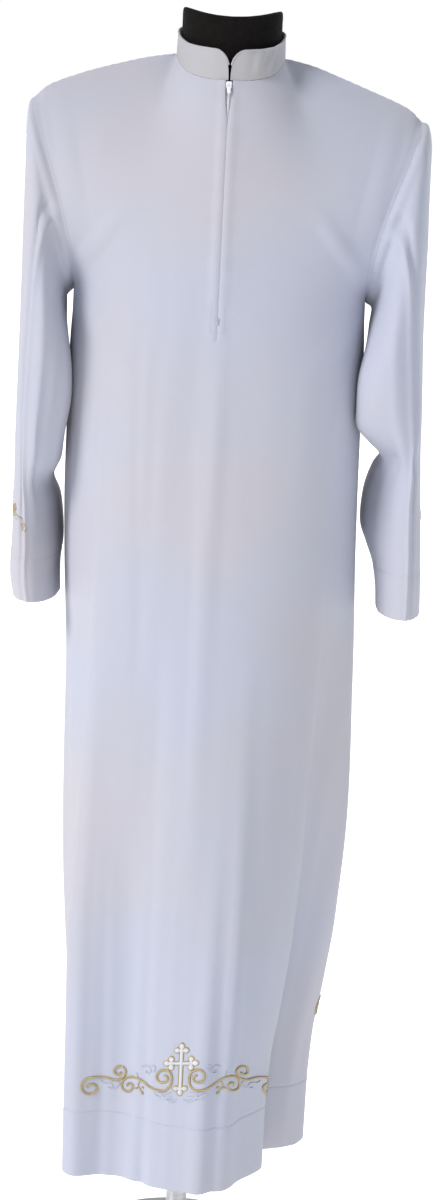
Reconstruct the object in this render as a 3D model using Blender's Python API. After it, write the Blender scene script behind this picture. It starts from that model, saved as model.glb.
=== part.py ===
"""Alb on a limbless dress form: a long white robe with a stand collar, a zip at the neck and set-in sleeves.

Metres, +Z up. -Y is the front and +X the wearer's left. The origin is the centre of the stand's
underside. Heights in the cloth tables are above the hem, and the hem hangs HEM above the floor.
"""
import math

import bmesh
import bpy
import numpy as np

HEM = 0.175          # floor to the hem
WALL = 0.0020        # cloth with its turn-ins
GAP = 0.0003         # between two pieces at a seam
UNDERARM = 1.145     # heights above the hem
ZIP_END = 1.100
ARM_STEPS = 12       # rows from the underarm up to the shoulder, half of a sleeve's ring
NECK_STEPS = 6       # columns along half of the front or back neckline
SHOULDER_STEPS = 10  # columns along one shoulder seam
STEPS = NECK_STEPS + SHOULDER_STEPS

# The body as a smooth tube: height, half width on the wearer's right and left, front and back depth
SECTIONS = [
    (0.000, 0.147, 0.170, 0.150, 0.150),
    (0.060, 0.148, 0.170, 0.150, 0.150),
    (0.150, 0.151, 0.174, 0.150, 0.149),
    (0.230, 0.155, 0.185, 0.149, 0.147),
    (0.330, 0.162, 0.196, 0.147, 0.144),
    (0.470, 0.169, 0.201, 0.142, 0.139),
    (0.665, 0.175, 0.196, 0.135, 0.132),
    (0.820, 0.184, 0.190, 0.131, 0.129),
    (0.900, 0.186, 0.188, 0.129, 0.128),
    (1.020, 0.186, 0.186, 0.126, 0.126),
    (1.145, 0.182, 0.182, 0.124, 0.124),
]

# The hem seen from above, one row for each turn of the cloth: x, y
HEM_FRONT_LEFT = [   # centre front to the wearer's left side seam, with the knife fold
    (0.000, -0.1635), (0.022, -0.165), (0.047, -0.156), (0.076, -0.131), (0.100, -0.100),
    (0.1125, -0.077), (0.1115, -0.062), (0.098, -0.055), (0.089, -0.045), (0.096, -0.034),
    (0.120, -0.024), (0.149, -0.014), (0.165, 0.006), (0.170, 0.036),
]
HEM_BACK_LEFT = [    # wearer's left side seam to the centre back
    (0.170, 0.036), (0.1690, 0.075), (0.160, 0.108), (0.140, 0.130), (0.112, 0.141),
    (0.083, 0.149), (0.055, 0.160), (0.026, 0.163), (0.000, 0.158),
]
HEM_BACK_RIGHT = [   # wearer's right side seam to the centre back
    (-0.152, 0.040), (-0.150, 0.080), (-0.141, 0.115), (-0.120, 0.140), (-0.092, 0.150),
    (-0.062, 0.158), (-0.032, 0.153), (0.000, 0.158),
]
HEM_FRONT_RIGHT = [  # centre front to the wearer's right side seam
    (0.000, -0.1635), (-0.013, -0.159), (-0.034, -0.144), (-0.066, -0.130), (-0.095, -0.128),
    (-0.120, -0.1295), (-0.139, -0.127), (-0.1465, -0.116), (-0.1405, -0.098), (-0.1430, -0.075),
    (-0.150, -0.040), (-0.153, 0.000), (-0.152, 0.040),
]

# How strongly the hem's folds show at a height: height, share
FOLD_STRENGTH = [(0.00, 1.0), (0.10, 0.97), (0.25, 0.86), (0.40, 0.64), (0.55, 0.40), (0.72, 0.17),
                 (0.88, 0.04), (1.00, 0.0), (1.20, 0.0)]

# Soft folds of the body: turn from the centre front to the wearer's left, half width in turns,
# height out of the cloth, lowest and highest point, turn gained towards the top
SOFT_FOLDS = [
    (-0.042, 0.014, 0.0040, -0.30, 0.62, 0.010),
    (-0.062, 0.012, -0.0030, -0.20, 0.55, 0.008),
    (-0.135, 0.018, 0.0045, -0.40, 0.70, 0.010),
    (0.048, 0.018, 0.0035, -0.30, 0.80, -0.010),
    (0.000, 0.012, 0.0030, 0.30, 1.30, 0.000),
    (0.215, 0.020, 0.0040, 0.10, 0.95, 0.010),
    (0.300, 0.022, -0.0045, -0.30, 0.90, 0.010),
    (0.365, 0.022, 0.0050, -0.30, 0.95, -0.010),
    (0.430, 0.020, -0.0040, -0.30, 0.85, 0.000),
    (0.500, 0.024, 0.0045, -0.30, 0.95, 0.000),
    (0.570, 0.020, -0.0040, -0.30, 0.85, 0.000),
    (0.640, 0.022, 0.0050, -0.30, 0.95, 0.010),
    (0.710, 0.022, -0.0045, -0.30, 0.90, -0.010),
    (0.790, 0.020, 0.0035, 0.10, 0.90, -0.010),
]

# The neckline on the wearer's left, centre front to the shoulder seam to centre back: x, y, z
NECK_FRONT = [(0.000, -0.0780, 1.409), (0.030, -0.0705, 1.4105), (0.052, -0.0500, 1.417),
              (0.0635, -0.0220, 1.428), (0.067, 0.0080, 1.437)]
NECK_BACK = [(0.067, 0.0080, 1.437), (0.0635, 0.0350, 1.4415), (0.048, 0.0560, 1.4435),
             (0.025, 0.0660, 1.4445), (0.000, 0.0690, 1.445)]
SHOULDER = [(0.067, 0.0080, 1.437), (0.095, 0.0070, 1.4320), (0.135, 0.0055, 1.4185), (0.170, 0.0035, 1.4055),
            (0.200, 0.0020, 1.3940), (0.222, 0.0010, 1.3845), (0.2385, 0.0000, 1.3700)]
ARM_FRONT = [(0.182, 0.0000, 1.145), (0.1835, -0.0450, 1.166), (0.189, -0.0720, 1.208), (0.199, -0.0760, 1.250),
             (0.213, -0.0690, 1.290), (0.226, -0.0550, 1.325), (0.235, -0.0320, 1.354), (0.2385, 0.0000, 1.370)]
ARM_BACK = [(0.182, 0.0000, 1.145), (0.1840, 0.0450, 1.165), (0.190, 0.0740, 1.205), (0.200, 0.0800, 1.250),
            (0.214, 0.0720, 1.292), (0.227, 0.0560, 1.328), (0.2355, 0.0310, 1.357), (0.2385, 0.0000, 1.370)]
CENTRE_FRONT = [(-0.124, 1.145), (-0.124, 1.195), (-0.1195, 1.250), (-0.1115, 1.305), (-0.1005, 1.350),
                (-0.0890, 1.384), (-0.0780, 1.409)]
CENTRE_BACK = [(0.124, 1.145), (0.126, 1.210), (0.1235, 1.275), (0.1140, 1.340), (0.0980, 1.395),
               (0.0830, 1.425), (0.0690, 1.445)]

# Sleeves from the armhole to the cuff: height and x of the outer side, height and x of the inner
# side, reach to the front and back, shift of the front towards the outer side, y of the inner side
SLEEVE_LEFT = [
    (1.360, 0.2475, 1.1435, 0.1900, 0.080, 0.082, 0.00, 0.000),
    (1.337, 0.2530, 1.137, 0.1965, 0.084, 0.086, 0.05, -0.012),
    (1.296, 0.2545, 1.120, 0.1965, 0.087, 0.088, 0.15, -0.030),
    (1.240, 0.2555, 1.092, 0.1842, 0.088, 0.088, 0.28, -0.046),
    (1.175, 0.2560, 1.058, 0.1780, 0.087, 0.087, 0.38, -0.055),
    (1.110, 0.2570, 1.022, 0.1772, 0.085, 0.086, 0.46, -0.055),
    (1.040, 0.2600, 0.995, 0.1790, 0.083, 0.085, 0.50, -0.046),
    (0.995, 0.2620, 0.975, 0.1955, 0.082, 0.085, 0.46, -0.032),
    (0.965, 0.2635, 0.955, 0.2125, 0.081, 0.085, 0.30, -0.006),
    (0.938, 0.2645, 0.934, 0.2055, 0.081, 0.085, 0.42, 0.016),
    (0.905, 0.2660, 0.902, 0.1970, 0.081, 0.085, 0.44, 0.026),
    (0.865, 0.2690, 0.862, 0.1950, 0.081, 0.084, 0.42, 0.024),
    (0.838, 0.2715, 0.838, 0.2030, 0.081, 0.084, 0.34, 0.014),
    (0.812, 0.2735, 0.812, 0.2130, 0.081, 0.083, 0.22, 0.006),
    (0.785, 0.2750, 0.784, 0.2185, 0.081, 0.083, 0.14, 0.000),
    (0.757, 0.2760, 0.755, 0.2210, 0.081, 0.082, 0.10, 0.000),
]
SLEEVE_RIGHT = [
    (1.362, 0.2440, 1.1435, 0.1900, 0.080, 0.082, 0.00, 0.000),
    (1.337, 0.2460, 1.137, 0.1960, 0.084, 0.086, 0.05, -0.012),
    (1.290, 0.2465, 1.120, 0.1955, 0.087, 0.088, 0.12, -0.030),
    (1.230, 0.2465, 1.090, 0.1840, 0.088, 0.088, 0.24, -0.046),
    (1.160, 0.2465, 1.052, 0.1787, 0.087, 0.087, 0.34, -0.052),
    (1.090, 0.2470, 1.012, 0.1780, 0.085, 0.086, 0.40, -0.052),
    (1.020, 0.2475, 0.970, 0.1845, 0.083, 0.085, 0.40, -0.048),
    (0.960, 0.2480, 0.935, 0.1895, 0.082, 0.085, 0.34, -0.034),
    (0.918, 0.2485, 0.905, 0.2010, 0.081, 0.085, 0.20, -0.004),
    (0.885, 0.2495, 0.878, 0.1935, 0.081, 0.085, 0.22, 0.016),
    (0.850, 0.2505, 0.848, 0.1895, 0.081, 0.085, 0.20, 0.020),
    (0.820, 0.2515, 0.820, 0.1880, 0.081, 0.084, 0.16, 0.014),
    (0.798, 0.2520, 0.798, 0.1905, 0.081, 0.084, 0.12, 0.006),
    (0.778, 0.2515, 0.777, 0.1905, 0.081, 0.083, 0.08, 0.000),
    (0.757, 0.2480, 0.755, 0.1895, 0.081, 0.082, 0.05, 0.000),
]
# Long folds of a sleeve: turn of the ring (0 outer, 0.25 front, 0.5 inner), half width, height, from, to
SLEEVE_FOLDS = [
    (0.375, 0.070, -0.0070, 0.74, 1.26),
    (0.290, 0.055, 0.0025, 0.78, 1.24),
    (0.125, 0.060, -0.0022, 0.85, 1.32),
    (0.640, 0.065, -0.0045, 0.80, 1.20),
    (0.860, 0.065, -0.0030, 0.85, 1.30),
]

# The web of cloth below the underarm lies in front of the body's side: how far its back steps out,
# and how much of that at a height
HUG = 0.0095
HUG_AT = [(0.70, 0.0), (0.94, 0.0), (0.98, 1.0), (1.09, 1.0), (1.125, 0.0), (1.20, 0.0)]

# Dress form below the cloth's chest line: height above the hem, half width, front and back depth
FORM = [
    (0.690, 0.140, 0.092, 0.104),
    (0.705, 0.147, 0.098, 0.110),
    (0.770, 0.156, 0.102, 0.114),
    (0.840, 0.157, 0.100, 0.112),
    (0.920, 0.145, 0.096, 0.100),
    (1.000, 0.138, 0.097, 0.096),
    (1.080, 0.150, 0.104, 0.102),
]
NECK_TOP = (0.0622, 0.0570, 0.0600, 1.4840, 0.0100)  # half width, front, back, height, rise at the sides
RIGHT_SHOULDER_UP = 0.008   # the wearer's right shoulder sits a little higher

BASE_RADIUS = 0.145
BASE_HIGH = 0.016
POLE_RADIUS = 0.014

ZIP_CLOSED, ZIP_OPEN, ZIP_OPEN_LONG = 0.0005, 0.0040, 0.052   # half gap, more at the slider, over this length
TAPE_WIDTH = 0.026
SLIDER_SIZE = (0.0070, 0.0085, 0.0034)   # across, along the zip, through the cloth
LUG = (0.0018, 0.0024, 0.0007, 0.0016)   # nearest and furthest from the middle, half length, height

CLOTH, BLACK, METAL, TAPE, SLIDER = "white_cloth", "black_jersey", "grey_metal", "white_tape", "white_enamel"


def through(keys, rows, at):
    """Smooth curve through the rows of a table, without overshoot between them."""
    keys, rows, at = np.asarray(keys, float), np.asarray(rows, float), np.atleast_1d(np.asarray(at, float))
    if rows.ndim == 1:
        return through(keys, rows[:, None], at)[:, 0]
    step = np.diff(keys)[:, None]
    slope = np.diff(rows, axis=0) / step
    before, after = slope[:-1], slope[1:]
    same = before * after > 0
    mean = np.where(same, 2 * before * after / np.where(same, before + after, 1), 0.0)
    tangent = np.vstack([slope[:1], mean, slope[-1:]])
    k = np.clip(np.searchsorted(keys, at, side="right") - 1, 0, len(keys) - 2)
    t = np.clip((at - keys[k]) / np.diff(keys)[k], 0, 1)[:, None]
    h = step[k]
    return ((2 * t**3 - 3 * t**2 + 1) * rows[k] + (t**3 - 2 * t**2 + t) * h * tangent[k]
            + (3 * t**2 - 2 * t**3) * rows[k + 1] + (t**3 - t**2) * h * tangent[k + 1])


def along(rows, share):
    """Points on a soft curve through the rows, at shares of its length."""
    rows = np.asarray(rows, float)
    chord = np.concatenate([[0], np.cumsum(np.linalg.norm(np.diff(rows, axis=0), axis=1))])
    ahead = np.gradient(rows, chord, axis=0)
    k = np.clip(np.searchsorted(chord, np.asarray(share) * chord[-1], side="right") - 1, 0, len(rows) - 2)
    h = np.diff(chord)[k][:, None]
    t = ((np.asarray(share) * chord[-1] - chord[k]) / h[:, 0])[:, None]
    return ((2 * t**3 - 3 * t**2 + 1) * rows[k] + (t**3 - 2 * t**2 + t) * h * ahead[k]
            + (3 * t**2 - 2 * t**3) * rows[k + 1] + (t**3 - t**2) * h * ahead[k + 1])


def bump(x):
    """1 at 0, falling softly to 0 at -1 and 1."""
    x = np.clip(np.abs(x), 0, 1)
    return (1 - x * x) ** 2


def ease(x):
    """0 up to 0, 1 from 1 on, soft between."""
    x = np.clip(x, 0, 1)
    return x * x * (3 - 2 * x)


def unit(v):
    return v / np.maximum(np.linalg.norm(v, axis=-1, keepdims=True), 1e-12)


def smooth_ring(z, turn):
    """The plain tube of the body at one height, at turns from the centre front to the wearer's left."""
    right, left, front, back = through([r[0] for r in SECTIONS], [r[1:] for r in SECTIONS], z)[0]
    s, c = np.sin(2 * math.pi * turn), np.cos(2 * math.pi * turn)
    power = 2 / 2.25
    x = np.where(s > 0, left, right) * np.sign(s) * np.abs(s) ** power
    y = -np.where(c > 0, front, back) * np.sign(c) * np.abs(c) ** power
    return np.stack([x, y], axis=1)


def hem_plan(turn):
    """The folded hem seen from above, at the same turns."""
    out = np.zeros((len(turn), 2))
    turn = (np.asarray(turn) + 0.5) % 1 - 0.5
    quarters = ((turn >= 0) & (turn <= 0.25), HEM_FRONT_LEFT, turn * 4), ((turn > 0.25), HEM_BACK_LEFT, turn * 4 - 1), \
               ((turn < 0) & (turn >= -0.25), HEM_FRONT_RIGHT, -turn * 4), ((turn < -0.25), HEM_BACK_RIGHT, -turn * 4 - 1)
    for inside, rows, share in quarters:
        if inside.any():
            out[inside] = along(rows, share[inside])
    return out


def body_ring(z, turn):
    """One height of the skirt and chest: the plain tube, the hem's folds and the soft folds."""
    plain = smooth_ring(z, turn)
    strength = through([r[0] for r in FOLD_STRENGTH], [r[1] for r in FOLD_STRENGTH], z)[0]
    ring = plain + strength * (hem_plan(turn) - smooth_ring(0.0, turn))
    outward = unit(ring)
    for at, half, high, low, top, lean in SOFT_FOLDS:
        middle, reach = (low + top) / 2, (top - low) / 2
        there = (turn - at - lean * max(z, 0) / 1.2 + 0.5) % 1 - 0.5
        ring = ring + outward * (high * bump(there / half) * bump((z - middle) / reach))[:, None]
    return np.column_stack([ring, np.full(len(turn), z)])


LOWER = [0.0, 0.035, 0.08, 0.13, 0.19, 0.26, 0.34, 0.43, 0.53, 0.64, 0.76, 0.88, 0.98, 1.05, ZIP_END, UNDERARM]
UPPER = [0.10, 0.20, 0.31, 0.42, 0.53, 0.64, 0.74, 0.83, 0.90, 0.94, 0.972, 1.0]
ZIP_ROW = LOWER.index(ZIP_END)
ARM_ROW = LOWER.index(UNDERARM)


def columns(side):
    """Turns of one quarter's columns, closer together at the knife fold."""
    even = np.linspace(0, 1, STEPS + 1)
    if side == "fold":
        return through([0, 0.22, 0.34, 0.80, 1], [0, 0.36, 0.47, 0.78, 1], even) * 0.25
    return even * 0.25


def mirrored(points, side):
    """Points of the wearer's left side carried over to either side."""
    points = np.asarray(points, float) * [side, 1, 1]
    if side < 0:
        reach, high = np.abs(points[:, 0]), points[:, 2]
        points[:, 2] += RIGHT_SHOULDER_UP * ease((reach - 0.07) / 0.12) * ease((high - 1.20) / 0.15)
    return points


def quarter(front, side):
    """Outer points of a quarter of the body, rows from the hem up, columns from the centre to the side."""
    turn = columns("fold" if front and side > 0 else "plain")
    turn = side * (turn if front else 0.5 - turn)
    low = np.stack([body_ring(z, turn) for z in LOWER])
    neck = mirrored(NECK_FRONT if front else NECK_BACK[::-1], side)
    shoulder, arm = mirrored(SHOULDER, side), mirrored(ARM_FRONT if front else ARM_BACK, side)
    centre = CENTRE_FRONT if front else CENTRE_BACK
    top = np.vstack([along(neck, np.linspace(0, 1, NECK_STEPS + 1)),
                     along(shoulder, np.linspace(0, 1, SHOULDER_STEPS + 1))[1:]])
    middle = along([(0, y, z) for y, z in centre], UPPER)
    middle = np.vstack([low[-1, :1], middle])
    edge = np.vstack([low[-1, -1:], along(arm, UPPER)])
    base = low[-1]
    v = np.array([0.0] + UPPER)[:, None, None]
    reach = np.concatenate([[0], np.cumsum(np.linalg.norm(np.diff(base, axis=0), axis=1))])
    above = np.concatenate([[0], np.cumsum(np.linalg.norm(np.diff(top, axis=0), axis=1))])
    s = (0.5 * reach / reach[-1] + 0.5 * above / above[-1])[None, :, None]
    sheet = ((1 - v) * base[None] + v * top[None] + (1 - s) * middle[:, None] + s * edge[:, None]
             - (1 - v) * ((1 - s) * base[0] + s * base[-1]) - v * ((1 - s) * top[0] + s * top[-1]))
    # across the chest the cloth bridges softly from the centre to the armhole
    line = middle[:, None] + (edge - middle)[:, None] * s
    sweep = (1 - np.sqrt(1 - (0.9 * s[:, :, 0]) ** 2)) / 0.564
    line[:, :, 1] = middle[:, None, 1] + (edge - middle)[:, None, 1] * sweep
    bridge = ease(v / 0.3) * (1 - ease((v - 0.55) / 0.45))
    sheet += 0.9 * bridge * (line - sheet)
    whole = np.concatenate([low, sheet[1:]])
    for _ in range(8):   # ease the tube into the chest, keeping seams and edges
        whole[ARM_ROW - 1:-1, 1:-1] += 0.5 * ((whole[ARM_ROW - 2:-2, 1:-1] + whole[ARM_ROW:, 1:-1]) / 2
                                             - whole[ARM_ROW - 1:-1, 1:-1]) * ease_rows()[:, None, None]
        chest = whole[ARM_ROW + 1:-1]
        evened = (chest[:, 2:] + chest[:, :-2]) / 2 - chest[:, 1:-1]
        chest[:, 1:-1] += 0.6 * (1 - ease((v[1:-1] - 0.6) / 0.37)) * evened
    whole[:, :, 2] += HEM
    return whole


def ease_rows():
    """Strength of the easing from just below the underarm up to the shoulder."""
    count = len(LOWER) + len(UPPER) - ARM_ROW
    return np.linspace(1.0, 0.15, count)


def body_panels():
    """Front and back as whole grids, columns from the wearer's right to the left."""
    panels = {}
    for name, front in (("front", True), ("back", False)):
        left, right = quarter(front, 1), quarter(front, -1)
        centre = (left[:, :1] + right[:, :1]) / 2
        panels[name] = np.concatenate([right[:, :0:-1], centre, left[:, 1:]], axis=1)
    lower = slice(0, ARM_ROW + 1)
    for a, b in ((0, 0), (-1, -1)):   # the two panels share their side seams
        seam = (panels["front"][lower, a] + panels["back"][lower, b]) / 2
        panels["front"][lower, a] = seam
        panels["back"][lower, b] = seam
    return panels


def normals(grid, outward):
    """Unit normals of a grid, pointing the way of the sample vector at its middle."""
    across = np.gradient(grid, axis=1)
    up = np.gradient(grid, axis=0)
    n = unit(np.cross(across, up))
    middle = n[grid.shape[0] // 2, grid.shape[1] // 2]
    return n if np.dot(middle, outward) > 0 else -n


def mitre(a, b):
    """Inward step that serves two sheets that meet at an edge, one wall deep on both."""
    together = a + b
    share = 1 + np.sum(a * b, axis=-1, keepdims=True)
    return together / np.maximum(share, 0.35)


def seam_frame(line, a, b, towards_b):
    """Shared inward step and the direction across the seam from sheet a to sheet b."""
    step = mitre(a, b)
    across = unit(np.cross(step, np.gradient(line, axis=0)))
    flip = np.sign(np.sum(across * towards_b, axis=-1, keepdims=True))
    return step, across * np.where(flip == 0, 1, flip)


class Sheet:
    """A cloth sheet: outer points, inward steps of one wall, and shifts that open its seams."""

    def __init__(self, grid, outward):
        self.grid = grid
        self.normal = normals(grid, outward)
        self.step = self.normal.copy()
        self.shift = np.zeros_like(grid)

    def outer(self):
        return self.grid + self.shift

    def inner(self, wall=WALL):
        return self.grid + self.shift - self.step * wall


def sew(a, where_a, b, where_b):
    """Open a seam by GAP between two sheets that share a line of points."""
    line = a.grid[where_a]
    inside_a, inside_b = a.normal[where_a], b.normal[where_b]
    middle_b = np.mean(b.grid.reshape(-1, 3), axis=0)
    near_b = b.grid[where_b] + 0.2 * (middle_b - b.grid[where_b]) if b.near is None else b.near
    step, across = seam_frame(line, inside_a, inside_b, near_b - line)
    a.step[where_a], b.step[where_b] = step, step
    a.shift[where_a] -= across * GAP * 0.6
    b.shift[where_b] += across * GAP * 0.6


def mesh_object(name, slot, vertices, faces):
    """One closed body with outward normals, from shared vertices."""
    mesh = bpy.data.meshes.new(name)
    bm = bmesh.new()
    made = [bm.verts.new(v) for v in vertices]
    for face in faces:
        corners = [made[k] for k in face]
        if len(set(face)) == len(face):
            bm.faces.new(corners)
    bmesh.ops.triangulate(bm, faces=[f for f in bm.faces if len(f.verts) > 3], quad_method="SHORT_EDGE")
    bmesh.ops.recalc_face_normals(bm, faces=bm.faces)
    if bm.calc_volume(signed=True) < 0:
        bmesh.ops.reverse_faces(bm, faces=bm.faces)
    bm.to_mesh(mesh)
    bm.free()
    thing = bpy.data.objects.new(name, mesh)
    bpy.context.scene.collection.objects.link(thing)
    material = bpy.data.materials.get(slot) or bpy.data.materials.new(slot)
    mesh.materials.append(material)
    return thing


def shell(name, slot, outer, inner, closed=False, slit=None):
    """Solid wall between an outer and an inner grid. closed joins the last column to the first.
    slit is (column, first open row, half gap at each row): the wall is cut there from that row up."""
    rows, cols = outer.shape[:2]
    points, index = [], {}

    def at(layer, r, c, hand):
        if slit is None or c != slit[0] or r <= slit[1]:
            hand = 0
        key = (layer, r, c, hand)
        if key not in index:
            point = (outer if layer == 0 else inner)[r, c].copy()
            if hand:
                point[0] += hand * slit[2][r]
            index[key] = len(points)
            points.append(point)
        return index[key]

    faces = []
    span = cols if closed else cols - 1
    for r in range(rows - 1):
        for c in range(span):
            d = (c + 1) % cols
            hand = 1 if slit is None or c >= slit[0] else -1
            for layer in (0, 1):
                loop = [at(layer, r, c, hand), at(layer, r, d, hand), at(layer, r + 1, d, hand), at(layer, r + 1, c, hand)]
                faces.append(loop if layer == 0 else loop[::-1])
    for c in range(span):   # hem and top edges
        d = (c + 1) % cols
        hand = 1 if slit is None or c >= slit[0] else -1
        faces.append([at(1, 0, c, hand), at(1, 0, d, hand), at(0, 0, d, hand), at(0, 0, c, hand)])
        faces.append([at(0, rows - 1, c, hand), at(0, rows - 1, d, hand), at(1, rows - 1, d, hand), at(1, rows - 1, c, hand)])
    if not closed:
        for r in range(rows - 1):   # side edges
            faces.append([at(0, r, 0, -1), at(0, r + 1, 0, -1), at(1, r + 1, 0, -1), at(1, r, 0, -1)])
            faces.append([at(1, r, cols - 1, 1), at(1, r + 1, cols - 1, 1), at(0, r + 1, cols - 1, 1), at(0, r, cols - 1, 1)])
    if slit is not None:
        for r in range(slit[1], rows - 1):
            c = slit[0]
            faces.append([at(1, r, c, -1), at(1, r + 1, c, -1), at(0, r + 1, c, -1), at(0, r, c, -1)])
            faces.append([at(0, r, c, 1), at(0, r + 1, c, 1), at(1, r + 1, c, 1), at(1, r, c, 1)])
    return mesh_object(name, slot, points, faces)


def sleeve_rings(table, armhole, side):
    """Rings of a sleeve from the armhole down. Column 0 is the shoulder tip, then round by the front."""
    count = len(armhole)
    turn = np.concatenate([0.5 * sleeve_shares(), 0.5 + 0.5 * (1 - sleeve_shares()[::-1])[1:-1]])
    c, s = np.cos(2 * math.pi * turn), np.sin(2 * math.pi * turn)
    rings = [armhole]
    for row, (z_out, x_out, z_in, x_in, front, back, shift, y_in) in enumerate(table):
        centre = np.array([(x_out + x_in) / 2, 0, (z_out + z_in) / 2])
        half = np.array([(x_out - x_in) / 2, 0, (z_out - z_in) / 2])
        ring = centre + c[:, None] * half
        ring[:, 0] += shift * half[0] * np.clip(s, 0, 1) ** 2
        inner = 0.5 - 0.5 * c
        ring[:, 1] = np.where(s > 0, -front * np.abs(s) ** 0.9, back * np.abs(s) ** 0.9) + y_in * inner ** 2
        behind = np.clip((ring[:, 1] - y_in) / 0.045, 0, 1) * inner ** 3   # the inner edge clears the body's side
        ring[:, 0] += HUG * behind * through([r[0] for r in HUG_AT], [r[1] for r in HUG_AT], z_in)[0]
        width = np.array([max(half[0], 0.02)])
        away = unit(np.column_stack([c * front, -s * width, np.zeros(count)]))
        for at, wide, high, low, top in SLEEVE_FOLDS:
            there = (turn - at + 0.5) % 1 - 0.5
            level = (ring[:, 2] - (low + top) / 2) / ((top - low) / 2)
            ring += away * (high * bump(there / wide) * bump(level))[:, None]
        ring[:, 2] += HEM
        ring[:, 0] *= side
        share = min(1.0, (row + 1) / 4.5)
        share = share * share * (3 - 2 * share)
        rings.append(armhole * (1 - share) + ring * share if share < 1 else ring)
        if share < 1:   # carry the armhole's shape along as it fades
            drop = ring.mean(axis=0) - armhole.mean(axis=0)
            rings[-1] = (armhole + drop) * (1 - share) * 0.55 + ring * (1 - (1 - share) * 0.55)
    return np.stack(rings)


def sleeve_shares():
    """Shares of the armhole's length from the shoulder tip to the underarm."""
    return 1 - np.array([0.0] + UPPER)[::-1]


def add_lathe(name, slot, profile, steps=48):
    """Turned solid about Z from (radius, height) rows, first and last on the axis."""
    points, rows = [], []
    for radius, z in profile:
        if radius == 0:
            rows.append([len(points)] * steps)
            points.append((0, 0, z))
        else:
            rows.append(list(range(len(points), len(points) + steps)))
            points += [(radius * math.cos(2 * math.pi * k / steps), radius * math.sin(2 * math.pi * k / steps), z)
                       for k in range(steps)]
    faces = []
    for low, high in zip(rows, rows[1:]):
        for k in range(steps):
            n = (k + 1) % steps
            loop = []
            for v in (low[k], low[n], high[n], high[k]):
                if v not in loop:
                    loop.append(v)
            if len(loop) > 2:
                faces.append(loop)
    return mesh_object(name, slot, points, faces)


def main():
    for thing in list(bpy.data.objects):
        bpy.data.objects.remove(thing, do_unlink=True)

    # Body: two panels, sewn at the sides and shoulders
    panels = body_panels()
    front, back = Sheet(panels["front"], (0, -1, 0)), Sheet(panels["back"], (0, 1, 0))
    for sheet in (front, back):
        sheet.near = None
    wide = 2 * STEPS
    low = np.arange(0, ARM_ROW + 1)
    for edge in (0, wide):
        sew(front, (low, edge), back, (low, edge))
    last = len(LOWER) + len(UPPER) - 1
    shoulders = (np.arange(0, SHOULDER_STEPS + 1), np.arange(wide - SHOULDER_STEPS, wide + 1))
    for cols in shoulders:
        sew(front, (last, cols), back, (last, cols))

    # Sleeves, their first ring is the armhole
    arm = np.arange(ARM_ROW, last + 1)
    for name, table, side, edge in (("sleeve_left", SLEEVE_LEFT, 1, wide), ("sleeve_right", SLEEVE_RIGHT, -1, 0)):
        loop = np.vstack([front.grid[arm[::-1], edge], back.grid[arm[1:-1], edge]])
        rings = sleeve_rings(table, loop, side)
        sleeve = Sheet(rings, (0, 0, 0))
        n = np.cross(np.gradient(np.concatenate([rings[:, -2:], rings, rings[:, :2]], axis=1), axis=1)[:, 2:-2],
                     np.gradient(rings, axis=0))
        n = unit(n)
        middle = rings.mean(axis=1, keepdims=True)
        if np.sum(n * (rings - middle)) < 0:
            n = -n
        sleeve.normal, sleeve.step = n, n.copy()
        body_normal = np.vstack([front.normal[arm[::-1], edge], back.normal[arm[1:-1], edge]])
        body_normal[0] = unit(front.normal[last, edge] + back.normal[last, edge])
        body_normal[ARM_STEPS] = unit(front.normal[ARM_ROW, edge] + back.normal[ARM_ROW, edge])
        step = mitre(body_normal, n[0])
        tangent = np.roll(loop, -1, axis=0) - np.roll(loop, 1, axis=0)
        across = unit(np.cross(step, tangent))
        away = rings[1] - rings[0]
        across *= np.sign(np.sum(across * away, axis=1, keepdims=True))
        sleeve.step[0] = step
        sleeve.shift[0] = across * GAP * 0.6
        half = len(arm)
        front.step[arm[::-1], edge] = step[:half]
        front.shift[arm[::-1], edge] -= across[:half] * GAP * 0.6
        back.step[arm[1:-1], edge] = step[half:]
        back.shift[arm[1:-1], edge] -= across[half:] * GAP * 0.6
        for row, k in ((ARM_ROW, ARM_STEPS), (last, 0)):
            back.step[row, edge] = step[k]
            back.shift[row, edge] -= across[k] * GAP * 0.6
        shell(name, CLOTH, sleeve.outer()[::-1], sleeve.inner()[::-1], closed=True)

    # Neckline: the collar stands on it
    neck_cols = np.arange(SHOULDER_STEPS, wide - SHOULDER_STEPS + 1)
    neck_front = front.grid[last, neck_cols]
    neck_back = back.grid[last, neck_cols]
    for sheet in (front, back):
        sheet.shift[last, neck_cols] -= np.array([0, 0, GAP * 0.6])

    # The slit for the zip, a little open at the slider
    rows = front.grid[:, STEPS, 2]
    depth = rows[-1] - rows
    half_gap = ZIP_CLOSED + ZIP_OPEN * bump(np.clip((depth - 0.004) / ZIP_OPEN_LONG, 0, 1))
    slit = (STEPS, ZIP_ROW, half_gap)
    shell("front", CLOTH, front.outer(), front.inner(), slit=slit)
    shell("back", CLOTH, back.outer(), back.inner())
    build_collar(neck_front, neck_back)
    build_zip(front)
    build_form(front, back)

    add_lathe("stand_base", METAL, [(0, 0), (BASE_RADIUS, 0), (BASE_RADIUS, 0.006), (BASE_RADIUS - 0.006, BASE_HIGH - 0.002),
                                    (BASE_RADIUS - 0.012, BASE_HIGH), (0, BASE_HIGH)], 56)
    low_flange, top = BASE_HIGH + GAP, HEM + FORM[0][0] - GAP
    add_lathe("stand_pole", METAL, [(0, low_flange), (0.045, low_flange), (0.045, low_flange + 0.006), (0.024, low_flange + 0.014),
                                    (0.020, low_flange + 0.050), (POLE_RADIUS, low_flange + 0.056), (POLE_RADIUS, top - 0.030),
                                    (0.020, top - 0.026), (0.050, top - 0.006), (0.050, top), (0, top)], 40)


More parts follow.
